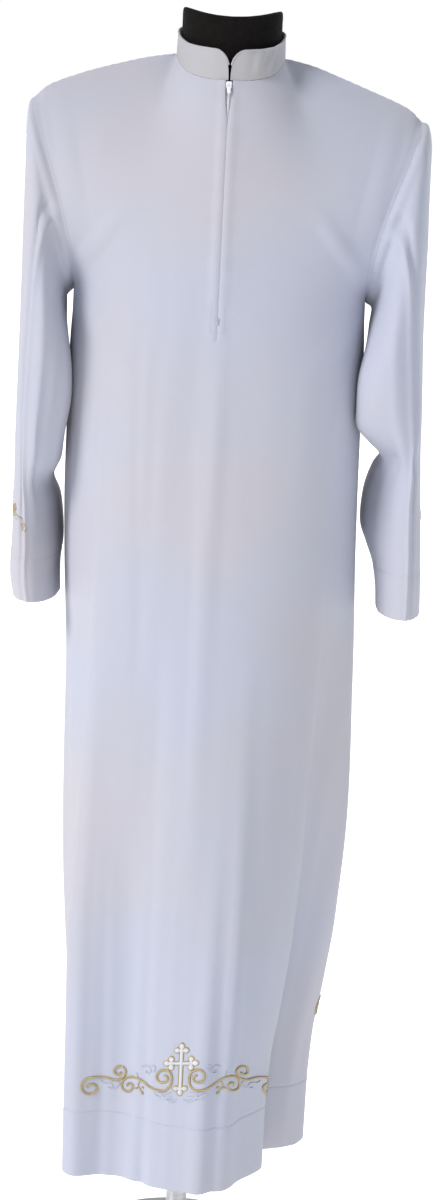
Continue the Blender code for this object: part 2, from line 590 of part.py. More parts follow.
def build_collar(neck_front, neck_back):
    """Stand collar: rows from the neckline up, open at the front with rounded corners."""
    ring = np.vstack([neck_front[NECK_STEPS + 1:], neck_back[::-1][1:-1], neck_front[:NECK_STEPS]])
    middle = neck_front[NECK_STEPS]
    ring = np.vstack([middle, ring, middle])
    length = np.concatenate([[0], np.cumsum(np.linalg.norm(np.diff(ring, axis=0), axis=1))])
    near_end = np.array([0.0, 0.0045, 0.0105, 0.0180])
    extra = np.sort(np.concatenate([length[2:-2], near_end, length[-1] - near_end]))
    base = np.stack([np.interp(extra, length, ring[:, k]) for k in range(3)], axis=1)
    total = length[-1]
    rows = np.linspace(0, 1, 6)
    sheet = []
    for v in rows:
        line = []
        for k, s in enumerate(extra):
            from_end = min(s, total - s)
            back_share = 0.5 - 0.5 * math.cos(2 * math.pi * s / total)
            high = 0.0360 - 0.0050 * bump((from_end - 0.115) / 0.09) - 0.0060 * back_share
            corner = 0.0165
            if from_end < corner:   # the front corner is a quarter round
                high -= corner * (1 - math.sqrt(max(0.0, 1 - (1 - from_end / corner) ** 2)))
            p = base[k].copy()
            lean = np.array([-0.030 * p[0] / 0.067, 0.10 if p[1] < 0 else -0.07, 0]) * [1, abs(p[1]) / 0.078, 1]
            open_up = 0.0010 + 0.0030 * (high * v / 0.030) ** 2
            if from_end < 0.03:
                p[0] += (1 if s < total / 2 else -1) * open_up * (1 - from_end / 0.03)
            p = p + np.array([0, 0, GAP * 0.6]) + (np.array([0, 0, 1]) + lean) * high * v
            line.append(p)
        sheet.append(line)
    grid = np.array(sheet)
    n = unit(np.cross(np.gradient(grid, axis=1), np.gradient(grid, axis=0)))
    if np.sum(n[..., :2] * grid[..., :2]) < 0:
        n = -n
    shell("collar", CLOTH, grid, grid - n * 0.0018)


def build_zip(front):
    """Tape behind the slit, a slider in its open top and a pull tab that hangs on the slider."""
    n = front.normal[:, STEPS]
    rows = np.arange(ZIP_ROW - 1, len(n))
    across = np.linspace(-TAPE_WIDTH / 2, TAPE_WIDTH / 2, 5)
    bend = front.inner()[rows]
    grid = np.zeros((len(rows), len(across), 3))
    for r in range(len(rows)):
        xs = bend[r, :, 0]
        line = np.stack([np.interp(across, xs, bend[r, :, k]) for k in range(3)], axis=1)
        line[:, 0] = across
        grid[r] = line - n[rows[r]] * 0.0005
    grid[0] = (grid[0] + grid[1]) / 2
    grid[-1, :, 2] -= 0.0006
    shell("zip_tape", TAPE, grid, grid - n[rows][:, None] * 0.0010)

    top = front.grid[-1, STEPS]
    slope = unit(front.grid[-1, STEPS] - front.grid[-4, STEPS])   # up the cloth
    out = unit(np.cross(slope, np.array([1.0, 0, 0])))
    if out[1] > 0:
        out = -out
    place = top - slope * 0.0060
    slider(place + out * 0.0006, slope, out)
    tab(place + out * 0.0036, slope, out)


def slider(centre, up, out):
    """Rounded box with its height along up, and on its face two lugs that hold the tab between them."""
    wide, high, deep = SLIDER_SIZE
    lug_in, lug_out, lug_half, lug_high = LUG
    bm = bmesh.new()
    bmesh.ops.create_cube(bm, size=1.0)
    bmesh.ops.scale(bm, vec=(wide, deep, high), verts=bm.verts)
    bmesh.ops.bevel(bm, geom=list(bm.edges), offset=0.0009, segments=2, affect="EDGES", profile=0.5)
    cuts = [((side * x, 0, 0), (1, 0, 0)) for side in (-1, 1) for x in (lug_in, lug_out)]
    cuts += [((0, 0, side * lug_half), (0, 0, 1)) for side in (-1, 1)]
    for point, normal in cuts:
        bmesh.ops.bisect_plane(bm, geom=bm.verts[:] + bm.edges[:] + bm.faces[:], plane_co=point, plane_no=normal)
    lugs = []
    for face in bm.faces:
        middle = face.calc_center_median()
        if middle.y < -0.49 * deep and lug_in < abs(middle.x) < lug_out and abs(middle.z) < lug_half:
            lugs.append(face)
    for face in lugs:
        raised = bmesh.ops.extrude_face_region(bm, geom=[face])["geom"]
        bmesh.ops.delete(bm, geom=[face], context="FACES")
        moved = [v for v in raised if isinstance(v, bmesh.types.BMVert)]
        bmesh.ops.translate(bm, vec=(0, -lug_high, 0), verts=moved)
    for v in bm.verts:
        v.co = centre + np.array([v.co.x, 0, 0]) + up * v.co.z - out * v.co.y
    bm.verts.index_update()
    vertices = [tuple(v.co) for v in bm.verts]
    faces = [[v.index for v in f.verts] for f in bm.faces]
    bm.free()
    return mesh_object("zip_slider", SLIDER, vertices, faces)


def tab(hinge, up, out):
    """Teardrop tab with a small hole, hanging down the cloth from its hinge."""
    steps, long, half, hole, above = 24, 0.0134, 0.0027, 0.0009, 0.0010
    ring_out, ring_in = [], []
    for k in range(steps):
        a = 2 * math.pi * k / steps
        down = 0.5 * (1 - math.cos(a))
        width = half * (0.62 + 0.38 * down) * math.sin(a)
        ring_out.append((width, -long * down + above))
        ring_in.append((hole * math.sin(a), -0.0009 - hole * (1 - math.cos(a))))
    thick = 0.0011
    points, faces = [], []
    for layer in (0.5, -0.5):
        for loop in (ring_out, ring_in):
            for x, h in loop:
                points.append(hinge + np.array([x, 0, 0]) + up * h + out * layer * thick)
    for k in range(steps):
        n = (k + 1) % steps
        o, i = 0, steps
        low_o, low_i = 2 * steps, 3 * steps
        faces += [[o + k, o + n, i + n, i + k], [low_o + n, low_o + k, low_i + k, low_i + n],
                  [o + n, o + k, low_o + k, low_o + n], [i + k, i + n, low_i + n, low_i + k]]
    return mesh_object("zip_pull", SLIDER, points, faces)


def build_form(front, back):
    """Smooth black torso: its upper part lies just under the cloth, so the cloth rests on it."""
    first, last = ARM_ROW, front.grid.shape[0] - 1
    rows = list(range(first, last + 1))
    wide = front.grid.shape[1] - 1
    rings = []
    for r in rows:
        v = (r - first) / (last - first)
        under = 0.0005 + 0.0135 * (1 - v) ** 1.5
        tape_room = 0.0034 * np.clip((5 - np.abs(np.arange(wide + 1) - wide // 2)) / 3, 0, 1)[:, None]
        ring_front = front.grid[r] - front.step[r] * (WALL + under + tape_room)
        ring_back = (back.grid[r] - back.step[r] * (WALL + under))[::-1]
        if r < last:
            stump = []
            for a, b in ((ring_front[-1], ring_back[0]), (ring_back[-1], ring_front[0])):
                gap = np.linalg.norm(b - a)
                bulge = np.array([np.sign(a[0]) * 0.10 * gap, 0, 0.0])
                stump.append([a + (b - a) * t + bulge * 4 * t * (1 - t) for t in (0.25, 0.5, 0.75)])
            rings.append(np.vstack([ring_front, stump[0], ring_back, stump[1]]))
        else:
            rings.append((ring_front, ring_back))

    vertices, faces, index_rows = [], [], []

    def add(points):
        start = len(vertices)
        vertices.extend([tuple(p) for p in points])
        return list(range(start, start + len(points)))

    count = len(rings[0])
    angle = np.arctan2(rings[0][:, 0], -rings[0][:, 1])
    for z, half, ahead, behind in FORM:
        s, c = np.sin(angle), np.cos(angle)
        ring = np.column_stack([half * np.sign(s) * np.abs(s) ** 0.9,
                                -np.where(c > 0, ahead, behind) * np.sign(c) * np.abs(c) ** 0.9, np.full(count, HEM + z)])
        index_rows.append(add(ring))
    bottom = add([(0, 0, HEM + FORM[0][0])])[0]
    for ring in rings[:-1]:
        index_rows.append(add(ring))
    for a, b in zip(index_rows, index_rows[1:]):
        for k in range(count):
            n = (k + 1) % count
            faces.append([a[k], a[n], b[n], b[k]])
    faces += [[bottom, index_rows[0][(k + 1) % count], index_rows[0][k]] for k in range(count)]

    # the shoulder ridge joins front and back, the neckline stays open for the neck
    ring_front, ring_back = rings[-1]
    ridge_front = add(ring_front)
    back_order = list(ring_back)
    ridge_back = []
    for k, p in enumerate(back_order):
        mirror = wide - k
        if mirror <= SHOULDER_STEPS or mirror >= wide - SHOULDER_STEPS:
            ridge_back.append(ridge_front[mirror])
        else:
            ridge_back.append(add([p])[0])
    below = index_rows[-1]
    for k in range(wide):
        faces.append([below[k], below[k + 1], ridge_front[k + 1], ridge_front[k]])
    offset = wide + 1
    tip_left = ridge_front[wide]
    chain = [below[wide]] + below[offset:offset + 3] + [below[offset + 3]]
    for a, b in zip(chain, chain[1:]):
        faces.append([a, b, tip_left])
    start = offset + 3
    for k in range(wide):
        faces.append([below[start + k], below[start + k + 1], ridge_back[k + 1], ridge_back[k]])
    tip_right = ridge_front[0]
    chain = [below[start + wide]] + below[start + wide + 1:start + wide + 4] + [below[0]]
    for a, b in zip(chain, chain[1:]):
        faces.append([a, b, tip_right])

    neck = [ridge_front[k] for k in range(SHOULDER_STEPS, wide - SHOULDER_STEPS + 1)]
    neck += [ridge_back[k] for k in range(SHOULDER_STEPS + 1, wide - SHOULDER_STEPS)]
    half, ahead, behind, high, rise = NECK_TOP
    base = np.array([vertices[k] for k in neck])
    angle = np.arctan2(base[:, 0] / 0.064, -base[:, 1] / np.where(base[:, 1] < 0, 0.075, 0.066))
    s, c = np.sin(angle), np.cos(angle)
    top = np.column_stack([half * s, -np.where(c > 0, ahead, behind) * c, np.zeros(len(neck))])
    top[:, 2] = HEM + high + rise * (top[:, 0] / half) ** 2
    foot = base.copy()
    foot[:, :2] -= unit(base[:, :2]) * 0.0038
    foot[:, 2] += 0.0008
    previous = add(foot)
    for k in range(len(neck)):
        n = (k + 1) % len(neck)
        faces.append([neck[k], neck[n], previous[n], previous[k]])
    base = foot
    for t, inset in ((0.3, 1.0), (0.6, 1.0), (0.9, 1.0), (0.98, 0.985), (1.0, 0.94)):
        ring = base + (top - base) * (1 - (1 - t) ** 1.5 if t < 0.9 else t)
        if inset < 1:
            ring[:, :2] *= inset
        current = add(ring)
        for k in range(len(neck)):
            n = (k + 1) % len(neck)
            faces.append([previous[k], previous[n], current[n], current[k]])
        previous = current
    for share in (0.7, 0.4):   # the top is a shallow saddle
        ring = np.column_stack([top[:, :2] * 0.94 * share, HEM + high + rise * (top[:, 0] / half * share) ** 2])
        current = add(ring)
        for k in range(len(neck)):
            n = (k + 1) % len(neck)
            faces.append([previous[k], previous[n], current[n], current[k]])
        previous = current
    cap = add([(0, 0, HEM + high)])[0]
    faces += [[cap, previous[k], previous[(k + 1) % len(neck)]] for k in range(len(neck))]
    mesh_object("form_torso", BLACK, vertices, faces)


main()
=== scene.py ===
# %% [markdown]
# # An alb on a dress form
#
# An alb is a long white robe. This one has a stand collar, a zip at the neck, set-in sleeves and a deep
# hem with a cross and scrolls sewn in gold thread. It hangs on a black dress form with a pole and a base.
# We load the imported frame first, because every piece has to sit where the frame says.

# %% Load the frame
import math

import bmesh
import bpy
import numpy as np
from mathutils import Matrix, Vector


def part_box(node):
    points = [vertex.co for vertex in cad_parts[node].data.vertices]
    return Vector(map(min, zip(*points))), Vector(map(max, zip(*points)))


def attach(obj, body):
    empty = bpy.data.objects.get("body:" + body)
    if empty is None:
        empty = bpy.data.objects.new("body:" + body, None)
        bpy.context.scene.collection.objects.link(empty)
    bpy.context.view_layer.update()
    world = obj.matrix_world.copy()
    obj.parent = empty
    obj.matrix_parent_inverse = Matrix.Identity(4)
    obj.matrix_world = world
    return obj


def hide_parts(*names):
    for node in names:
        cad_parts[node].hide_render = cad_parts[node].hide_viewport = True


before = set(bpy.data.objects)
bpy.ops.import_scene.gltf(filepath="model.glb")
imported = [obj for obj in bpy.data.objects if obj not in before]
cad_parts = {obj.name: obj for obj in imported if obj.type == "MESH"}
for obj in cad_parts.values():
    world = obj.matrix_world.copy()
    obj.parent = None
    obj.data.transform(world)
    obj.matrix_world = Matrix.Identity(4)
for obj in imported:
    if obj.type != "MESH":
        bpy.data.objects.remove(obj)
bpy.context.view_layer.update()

print("nodes:", sorted(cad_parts))

# %% [markdown]
# ## Camera
#
# The photograph was taken from chest height, a few steps away, with the camera tipped down. A camera is a
# place, a turn and a lens. The lens follows from how many pixels the picture is high.

# %% The photograph's camera
HEM = 0.175                 # floor to the hem, as the frame has it
PHOTO_HIGH = 1200           # pixels
FOCAL_PIXELS = 2383
CAMERA_PLACE = (0.0215, -3.0, HEM + 1.445)
CAMERA_DOWN, CAMERA_ROLL = 13.0, 2.85   # degrees

lens = bpy.data.cameras.new("camera")
lens.sensor_fit = "VERTICAL"
lens.sensor_height = 36.0
lens.lens = FOCAL_PIXELS / PHOTO_HIGH * lens.sensor_height
camera = bpy.data.objects.new("camera", lens)
bpy.context.scene.collection.objects.link(camera)
camera.matrix_world = (Matrix.Translation(CAMERA_PLACE)
                       @ Matrix.Rotation(math.radians(90 - CAMERA_DOWN), 4, "X")
                       @ Matrix.Rotation(math.radians(CAMERA_ROLL), 4, "Z"))
bpy.context.scene.camera = camera
print("lens", round(lens.lens, 1), "mm")

# %% [markdown]
# ## Materials: small helpers
#
# A material is a tree of nodes. Writing each node and each link on its own line is long, so two helpers
# make a node with its values and join two sockets. Every finish below is built from them.

# %% Node helpers
def finish_named(name):
    """A new material with its node tree and its Principled shader."""
    material = bpy.data.materials.new(name)
    material.use_nodes = True
    tree = material.node_tree
    return material, tree, tree.nodes["Principled BSDF"]


def add(tree, kind, **values):
    """A node of one kind. Values that name an input set it, the others set a property."""
    node = tree.nodes.new(kind)
    for name, value in values.items():
        socket = name.replace("_", " ").title() if name.islower() else name
        if socket in node.inputs:
            node.inputs[socket].default_value = value
        else:
            setattr(node, name, value)
    return node


def mix_colours(tree, share, first, second):
    """A colour between two, by a 0 to 1 share from another node."""
    mix = tree.nodes.new("ShaderNodeMix")
    mix.data_type = "RGBA"
    tree.links.new(share, mix.inputs["Factor"])
    mix.inputs["A"].default_value = (*first, 1)
    mix.inputs["B"].default_value = (*second, 1)
    return mix.outputs["Result"]


def combine(tree, operation, a, b):
    """Arithmetic on two sockets or numbers."""
    node = tree.nodes.new("ShaderNodeMath")
    node.operation = operation
    for slot, value in zip(node.inputs, (a, b)):
        if isinstance(value, (int, float)):
            slot.default_value = value
        else:
            tree.links.new(value, slot)
    return node.outputs[0]


def relief(tree, shader, height, distance, strength=1.0, under=None):
    """Bump from a height socket. under is another bump that it lies on."""
    raised = add(tree, "ShaderNodeBump", Strength=strength, Distance=distance)
    tree.links.new(height, raised.inputs["Height"])
    if under is not None:
        tree.links.new(under, raised.inputs["Normal"])
    tree.links.new(raised.outputs["Normal"], shader.inputs["Normal"])


# %% [markdown]
# ## White cloth
#
# The robe is a smooth, closely woven white cloth. Three things make it read as cloth: a thread pattern
# finer than a millimetre, broad soft creases that no mesh needs to hold, and a slow change of tint, a
# little warmer in some places and bluer in others. The weave follows the cloth, so it reads the piece's
# own UV map, which is laid out in metres.

# %% The cloth's finish
THREAD = 0.00045   # metres from thread to thread
BAND = 0.314       # scale of a wave texture whose bands are one unit apart


def set_sockets(shader, **values):
    """Numbers set on the shader's own inputs, whose names are written with underscores."""
    for name, value in values.items():
        shader.inputs[name.replace("_", " ")].default_value = value


def cloth_finish(name, cool, warm, roughness=0.82):
    """Plain weave on the UV map, with soft creases and a slow change of tint."""
    material, tree, shader = finish_named(name)
    link = tree.links.new
    place = add(tree, "ShaderNodeTexCoord")
    tint = add(tree, "ShaderNodeTexNoise", Scale=3.2, Detail=2.0)
    link(place.outputs["Object"], tint.inputs["Vector"])
    ramp = add(tree, "ShaderNodeMapRange")
    ramp.inputs["From Min"].default_value, ramp.inputs["From Max"].default_value = 0.38, 0.62
    link(tint.outputs["Fac"], ramp.inputs["Value"])
    link(mix_colours(tree, ramp.outputs["Result"], cool, warm), shader.inputs["Base Color"])

    waves = []
    for direction in ("X", "Y"):
        wave = add(tree, "ShaderNodeTexWave", wave_type="BANDS", bands_direction=direction,
                   Scale=BAND / THREAD / 2, Distortion=0.25, Detail=1.0)
        wave.inputs["Detail Scale"].default_value = 3.0
        link(place.outputs["UV"], wave.inputs["Vector"])
        waves.append(wave.outputs["Fac"])
    weave = combine(tree, "MULTIPLY", waves[0], waves[1])
    slub = add(tree, "ShaderNodeTexNoise", Scale=420.0, Detail=3.0)
    link(place.outputs["UV"], slub.inputs["Vector"])
    threads = combine(tree, "ADD", weave, combine(tree, "MULTIPLY", slub.outputs["Fac"], 0.6))
    crease = add(tree, "ShaderNodeTexNoise", Scale=26.0, Detail=3.0, Roughness=0.45)
    link(place.outputs["Object"], crease.inputs["Vector"])
    broad = add(tree, "ShaderNodeBump", Strength=0.35, Distance=0.0016)
    link(crease.outputs["Fac"], broad.inputs["Height"])
    relief(tree, shader, threads, 0.00010, 0.45, under=broad.outputs["Normal"])
    rough = add(tree, "ShaderNodeMapRange")
    rough.inputs["To Min"].default_value = roughness - 0.08
    rough.inputs["To Max"].default_value = roughness + 0.08
    link(slub.outputs["Fac"], rough.inputs["Value"])
    link(rough.outputs["Result"], shader.inputs["Roughness"])
    set_sockets(shader, Sheen_Weight=0.25, Sheen_Roughness=0.45, Specular_IOR_Level=0.30)
    return material


WHITE = cloth_finish("white_cloth_finish", cool=(0.425, 0.450, 0.545), warm=(0.450, 0.445, 0.500))
# the collar's copy of the same cloth is darker and warmer: painted shade, as if the collar stood in shade
COLLAR_PAINTED_SHADE_WHITE = cloth_finish("collar_cloth_painted_shade", cool=(0.375, 0.390, 0.440), warm=(0.405, 0.390, 0.395))
print("cloth finishes:", WHITE.name, COLLAR_PAINTED_SHADE_WHITE.name)

# %% [markdown]
# ## Gold cord, satin stitch, zip, jersey and metal
#
# Gold thread is a thin metal strip wound round a core. Its glitter is painted into its colour: painted highlight on
# each winding, painted shade between them, and painted glints from a fine noise. The cross is filled with satin
# stitch: parallel threads that lie close together, whose shine along one way is painted as lighter and darker bands.
# The form wears a black knit, and the stand is brushed steel.

# %% The other finishes
def thread_finish(name, dark, light, metallic, roughness, pitch):
    """Wound thread: short dashes across the cord, along the UV map's second direction, painted in the colour as
    painted highlight on each winding and painted shade between, with painted glints.
    """
    material, tree, shader = finish_named(name)
    place = add(tree, "ShaderNodeTexCoord")
    slant = add(tree, "ShaderNodeMapping")
    slant.inputs["Rotation"].default_value = (0, 0, math.radians(32))
    tree.links.new(place.outputs["UV"], slant.inputs["Vector"])
    wound = add(tree, "ShaderNodeTexWave", wave_type="BANDS", bands_direction="Y",
                Scale=BAND / pitch, Distortion=0.6)
    tree.links.new(slant.outputs["Vector"], wound.inputs["Vector"])
    # painted glints: a fine noise lightens the thread's colour in small spots
    painted_glint = add(tree, "ShaderNodeTexNoise", Scale=900.0, Detail=2.0)
    tree.links.new(place.outputs["Object"], painted_glint.inputs["Vector"])
    # the windings times the glints: the colour's painted highlight, painted shade and painted glints, and also the
    # thread's bump
    both = combine(tree, "MULTIPLY", wound.outputs["Fac"], combine(tree, "ADD", painted_glint.outputs["Fac"], 0.45))
    tree.links.new(mix_colours(tree, both, dark, light), shader.inputs["Base Color"])
    set_sockets(shader, Metallic=metallic, Roughness=roughness)
    relief(tree, shader, both, 0.00025, 0.8)
    return material


# dark is the painted shade between windings or threads, light the painted highlight on them
GOLD = thread_finish("gold_thread", dark=(0.19, 0.13, 0.055), light=(0.66, 0.54, 0.28), metallic=0.55,
                     roughness=0.36, pitch=0.0011)
SATIN = thread_finish("white_satin_stitch", dark=(0.56, 0.58, 0.66), light=(0.74, 0.75, 0.80), metallic=0.0,
                      roughness=0.42, pitch=0.0006)


def hard_finish(name, dark, light, grain, detail, depth, strength, stretch=None, knit=None, **sockets):
    """Two tones by a noise in object space, which also gives the relief, unless a knit of small cells does."""
    material, tree, shader = finish_named(name)
    place = add(tree, "ShaderNodeTexCoord").outputs["Object"]
    where = place
    if stretch:
        pulled = add(tree, "ShaderNodeMapping")
        pulled.inputs["Scale"].default_value = stretch
        tree.links.new(place, pulled.inputs["Vector"])
        where = pulled.outputs["Vector"]
    noise = add(tree, "ShaderNodeTexNoise", Scale=grain, Detail=detail)
    tree.links.new(where, noise.inputs["Vector"])
    height = noise.outputs["Fac"]
    tree.links.new(mix_colours(tree, height, dark, light), shader.inputs["Base Color"])
    if knit:
        cells = add(tree, "ShaderNodeTexVoronoi", Scale=knit)
        tree.links.new(place, cells.inputs["Vector"])
        height = cells.outputs["Distance"]
    relief(tree, shader, height, depth, strength)
    set_sockets(shader, **sockets)
    return material


ENAMEL = hard_finish("white_enamel_finish", (0.74, 0.76, 0.82), (0.86, 0.87, 0.90), 260.0, 2.0, 0.0001, 0.3,
                     Roughness=0.18, Coat_Weight=0.5)
JERSEY = hard_finish("black_jersey_finish", (0.0015, 0.0014, 0.0014), (0.009, 0.0075, 0.007), 160.0, 4.0, 0.0004, 0.6,
                     knit=900.0, Roughness=0.92, Sheen_Weight=0.02, Specular_IOR_Level=0.12)
STEEL = hard_finish("satin_steel_finish", (0.42, 0.43, 0.45), (0.62, 0.63, 0.65), 1.0, 3.0, 0.0001, 0.35,
                    stretch=(40, 40, 900), Metallic=0.9, Roughness=0.34)
print("finishes:", [m.name for m in (GOLD, SATIN, ENAMEL, JERSEY, STEEL)])

# %% [markdown]
# ## Shapes from short tables
#
# Cloth that hangs has no straight edges, but a few heights and a few folds say almost all of it. Each
# table below has one row for a height or for a turn of the cloth, and two curve helpers run smoothly
# through the rows: one never overshoots, the other keeps an even pace along a line.

# %% Curve helpers
def hermite(t, long, a, b, leave, arrive):
    """A cubic piece from a to b over the length long, with its slopes at both ends. t runs from 0 to 1."""
    return ((2 * t**3 - 3 * t**2 + 1) * a + (t**3 - 2 * t**2 + t) * long * leave
            + (3 * t**2 - 2 * t**3) * b + (t**3 - t**2) * long * arrive)


def lengths(points, axis=0):
    """Lengths from the start of a line, or from one edge of a grid along its rows (1) or columns (0)."""
    steps = np.linalg.norm(np.diff(points, axis=axis), axis=-1)
    return np.insert(np.cumsum(steps, axis=axis), 0, 0.0, axis=axis)


def through(keys, rows, at):
    """Smooth curve through the rows of a table, without overshoot between them."""
    keys, rows, at = np.asarray(keys, float), np.asarray(rows, float), np.atleast_1d(np.asarray(at, float))
    if rows.ndim == 1:
        return through(keys, rows[:, None], at)[:, 0]
    step = np.diff(keys)[:, None]
    slope = np.diff(rows, axis=0) / step
    before, after = slope[:-1], slope[1:]
    same = before * after > 0
    mean = np.where(same, 2 * before * after / np.where(same, before + after, 1), 0.0)
    tangent = np.vstack([slope[:1], mean, slope[-1:]])
    k = np.clip(np.searchsorted(keys, at, side="right") - 1, 0, len(keys) - 2)
    t = np.clip((at - keys[k]) / np.diff(keys)[k], 0, 1)[:, None]
    return hermite(t, step[k], rows[k], rows[k + 1], tangent[k], tangent[k + 1])


def read_table(table, at):
    """The values of a table whose first column is the key, read at one key."""
    return through([row[0] for row in table], [row[1:] for row in table], at)[0]


def along(rows, share):
    """Points on a soft curve through the rows, at shares of its length."""
    rows, share = np.asarray(rows, float), np.asarray(share, float)
    chord = lengths(rows)
    ahead = np.gradient(rows, chord, axis=0)
    k = np.clip(np.searchsorted(chord, share * chord[-1], side="right") - 1, 0, len(rows) - 2)
    h = np.diff(chord)[k][:, None]
    t = ((share * chord[-1] - chord[k]) / h[:, 0])[:, None]
    return hermite(t, h, rows[k], rows[k + 1], ahead[k], ahead[k + 1])


def bump(x):
    """1 at 0, falling softly to 0 at -1 and 1."""
    x = np.clip(np.abs(x), 0, 1)
    return (1 - x * x) ** 2


def ease(x):
    """0 up to 0, 1 from 1 on, soft between."""
    x = np.clip(x, 0, 1)
    return x * x * (3 - 2 * x)


def half_turn(turn):
    """A turn brought between -0.5 and 0.5."""
    return (turn + 0.5) % 1 - 0.5


def unit(v):
    """Vectors with length 1."""
    return v / np.maximum(np.linalg.norm(v, axis=-1, keepdims=True), 1e-12)


def finer(grid, at_row, at_col):
    """A grid of points read at fractional rows and columns, smooth both ways."""
    def read(points, at):
        last = len(points) - 1
        k = np.clip(np.floor(at).astype(int), 0, last - 1)
        t = (at - k)[:, None, None]
        a, b = points[k], points[k + 1]
        before = np.where((k > 0)[:, None, None], points[np.maximum(k - 1, 0)], 2 * a - b)
        after = np.where((k + 2 <= last)[:, None, None], points[np.minimum(k + 2, last)], 2 * b - a)
        return 0.5 * (2 * a + (b - before) * t + (2 * before - 5 * a + 4 * b - after) * t**2
                      + (3 * a - before - 3 * b + after) * t**3)
    rows = read(grid, np.asarray(at_row, float))
    return read(rows.transpose(1, 0, 2), np.asarray(at_col, float)).transpose(1, 0, 2)


print("half way through (0, 1, 4):", through([0, 1, 2], [0.0, 1.0, 4.0], [1.5]).round(3))

# %% [markdown]
# ## The body's tables
#
# The robe's body is a tube. It is widest over the shoulder blades and narrows a little towards the hem,
# where it folds: a knife fold stands at the wearer's left of the front, and a return at the right. The
# upper half follows the neckline, the shoulder seam and the armhole.

# %% The body, heights above the hem
SECTIONS = [   # height, half width on the wearer's right and left, front and back depth
    (0.000, 0.147, 0.170, 0.150, 0.150), (0.060, 0.148, 0.170, 0.150, 0.150), (0.150, 0.151, 0.174, 0.150, 0.149),
    (0.230, 0.155, 0.185, 0.149, 0.147), (0.330, 0.162, 0.196, 0.147, 0.144), (0.470, 0.169, 0.201, 0.142, 0.139),
    (0.665, 0.175, 0.196, 0.135, 0.132), (0.820, 0.184, 0.190, 0.131, 0.129), (0.900, 0.186, 0.188, 0.129, 0.128),
    (1.020, 0.186, 0.186, 0.126, 0.126), (1.145, 0.182, 0.182, 0.124, 0.124),
]
HEM_FRONT_LEFT = [   # the hem from above: centre front to the wearer's left side seam, with the knife fold
    (0.000, -0.1635), (0.022, -0.165), (0.047, -0.156), (0.076, -0.131), (0.100, -0.100),
    (0.1125, -0.077), (0.1115, -0.062), (0.098, -0.055), (0.089, -0.045), (0.096, -0.034),
    (0.120, -0.024), (0.149, -0.014), (0.165, 0.006), (0.170, 0.036),
]
HEM_BACK_LEFT = [    # wearer's left side seam to the centre back
    (0.170, 0.036), (0.1690, 0.075), (0.160, 0.108), (0.140, 0.130), (0.112, 0.141),
    (0.083, 0.149), (0.055, 0.160), (0.026, 0.163), (0.000, 0.158),
]
HEM_BACK_RIGHT = [   # wearer's right side seam to the centre back
    (-0.152, 0.040), (-0.150, 0.080), (-0.141, 0.115), (-0.120, 0.140), (-0.092, 0.150),
    (-0.062, 0.158), (-0.032, 0.153), (0.000, 0.158),
]
HEM_FRONT_RIGHT = [  # centre front to the wearer's right side seam
    (0.000, -0.1635), (-0.013, -0.159), (-0.034, -0.144), (-0.066, -0.130), (-0.095, -0.128),
    (-0.120, -0.1295), (-0.139, -0.127), (-0.1465, -0.116), (-0.1405, -0.098), (-0.1430, -0.075),
    (-0.150, -0.040), (-0.153, 0.000), (-0.152, 0.040),
]
FOLD_STRENGTH = [(0.00, 1.0), (0.10, 0.97), (0.25, 0.86), (0.40, 0.64), (0.55, 0.40), (0.72, 0.17),
                 (0.88, 0.04), (1.00, 0.0), (1.20, 0.0)]
SOFT_FOLDS = [   # turn from the centre front, half width, height out of the cloth, lowest, highest, lean
    (-0.042, 0.014, 0.0040, -0.30, 0.62, 0.010), (-0.062, 0.012, -0.0030, -0.20, 0.55, 0.008),
    (-0.135, 0.018, 0.0045, -0.40, 0.70, 0.010), (0.048, 0.018, 0.0035, -0.30, 0.80, -0.010),
    (0.000, 0.012, 0.0030, 0.30, 1.30, 0.000), (0.215, 0.020, 0.0040, 0.10, 0.95, 0.010),
    (0.300, 0.022, -0.0045, -0.30, 0.90, 0.010), (0.365, 0.022, 0.0050, -0.30, 0.95, -0.010),
    (0.430, 0.020, -0.0040, -0.30, 0.85, 0.000), (0.500, 0.024, 0.0045, -0.30, 0.95, 0.000),
    (0.570, 0.020, -0.0040, -0.30, 0.85, 0.000), (0.640, 0.022, 0.0050, -0.30, 0.95, 0.010),
    (0.710, 0.022, -0.0045, -0.30, 0.90, -0.010), (0.790, 0.020, 0.0035, 0.10, 0.90, -0.010),
]
NECK_FRONT = [(0.000, -0.0780, 1.409), (0.030, -0.0705, 1.4105), (0.052, -0.0500, 1.417),
              (0.0635, -0.0220, 1.428), (0.067, 0.0080, 1.437)]
NECK_BACK = [(0.067, 0.0080, 1.437), (0.0635, 0.0350, 1.4415), (0.048, 0.0560, 1.4435),
             (0.025, 0.0660, 1.4445), (0.000, 0.0690, 1.445)]
SHOULDER = [(0.067, 0.0080, 1.437), (0.095, 0.0070, 1.4320), (0.135, 0.0055, 1.4185), (0.170, 0.0035, 1.4055),
            (0.200, 0.0020, 1.3940), (0.222, 0.0010, 1.3845), (0.2385, 0.0000, 1.3700)]
ARM_FRONT = [(0.182, 0.0000, 1.145), (0.1835, -0.0450, 1.166), (0.189, -0.0720, 1.208), (0.199, -0.0760, 1.250),
             (0.213, -0.0690, 1.290), (0.226, -0.0550, 1.325), (0.235, -0.0320, 1.354), (0.2385, 0.0000, 1.370)]
ARM_BACK = [(0.182, 0.0000, 1.145), (0.1840, 0.0450, 1.165), (0.190, 0.0740, 1.205), (0.200, 0.0800, 1.250),
            (0.214, 0.0720, 1.292), (0.227, 0.0560, 1.328), (0.2355, 0.0310, 1.357), (0.2385, 0.0000, 1.370)]
CENTRE_FRONT = [(-0.124, 1.145), (-0.124, 1.195), (-0.1195, 1.250), (-0.1115, 1.305), (-0.1005, 1.350),
                (-0.0890, 1.384), (-0.0780, 1.409)]
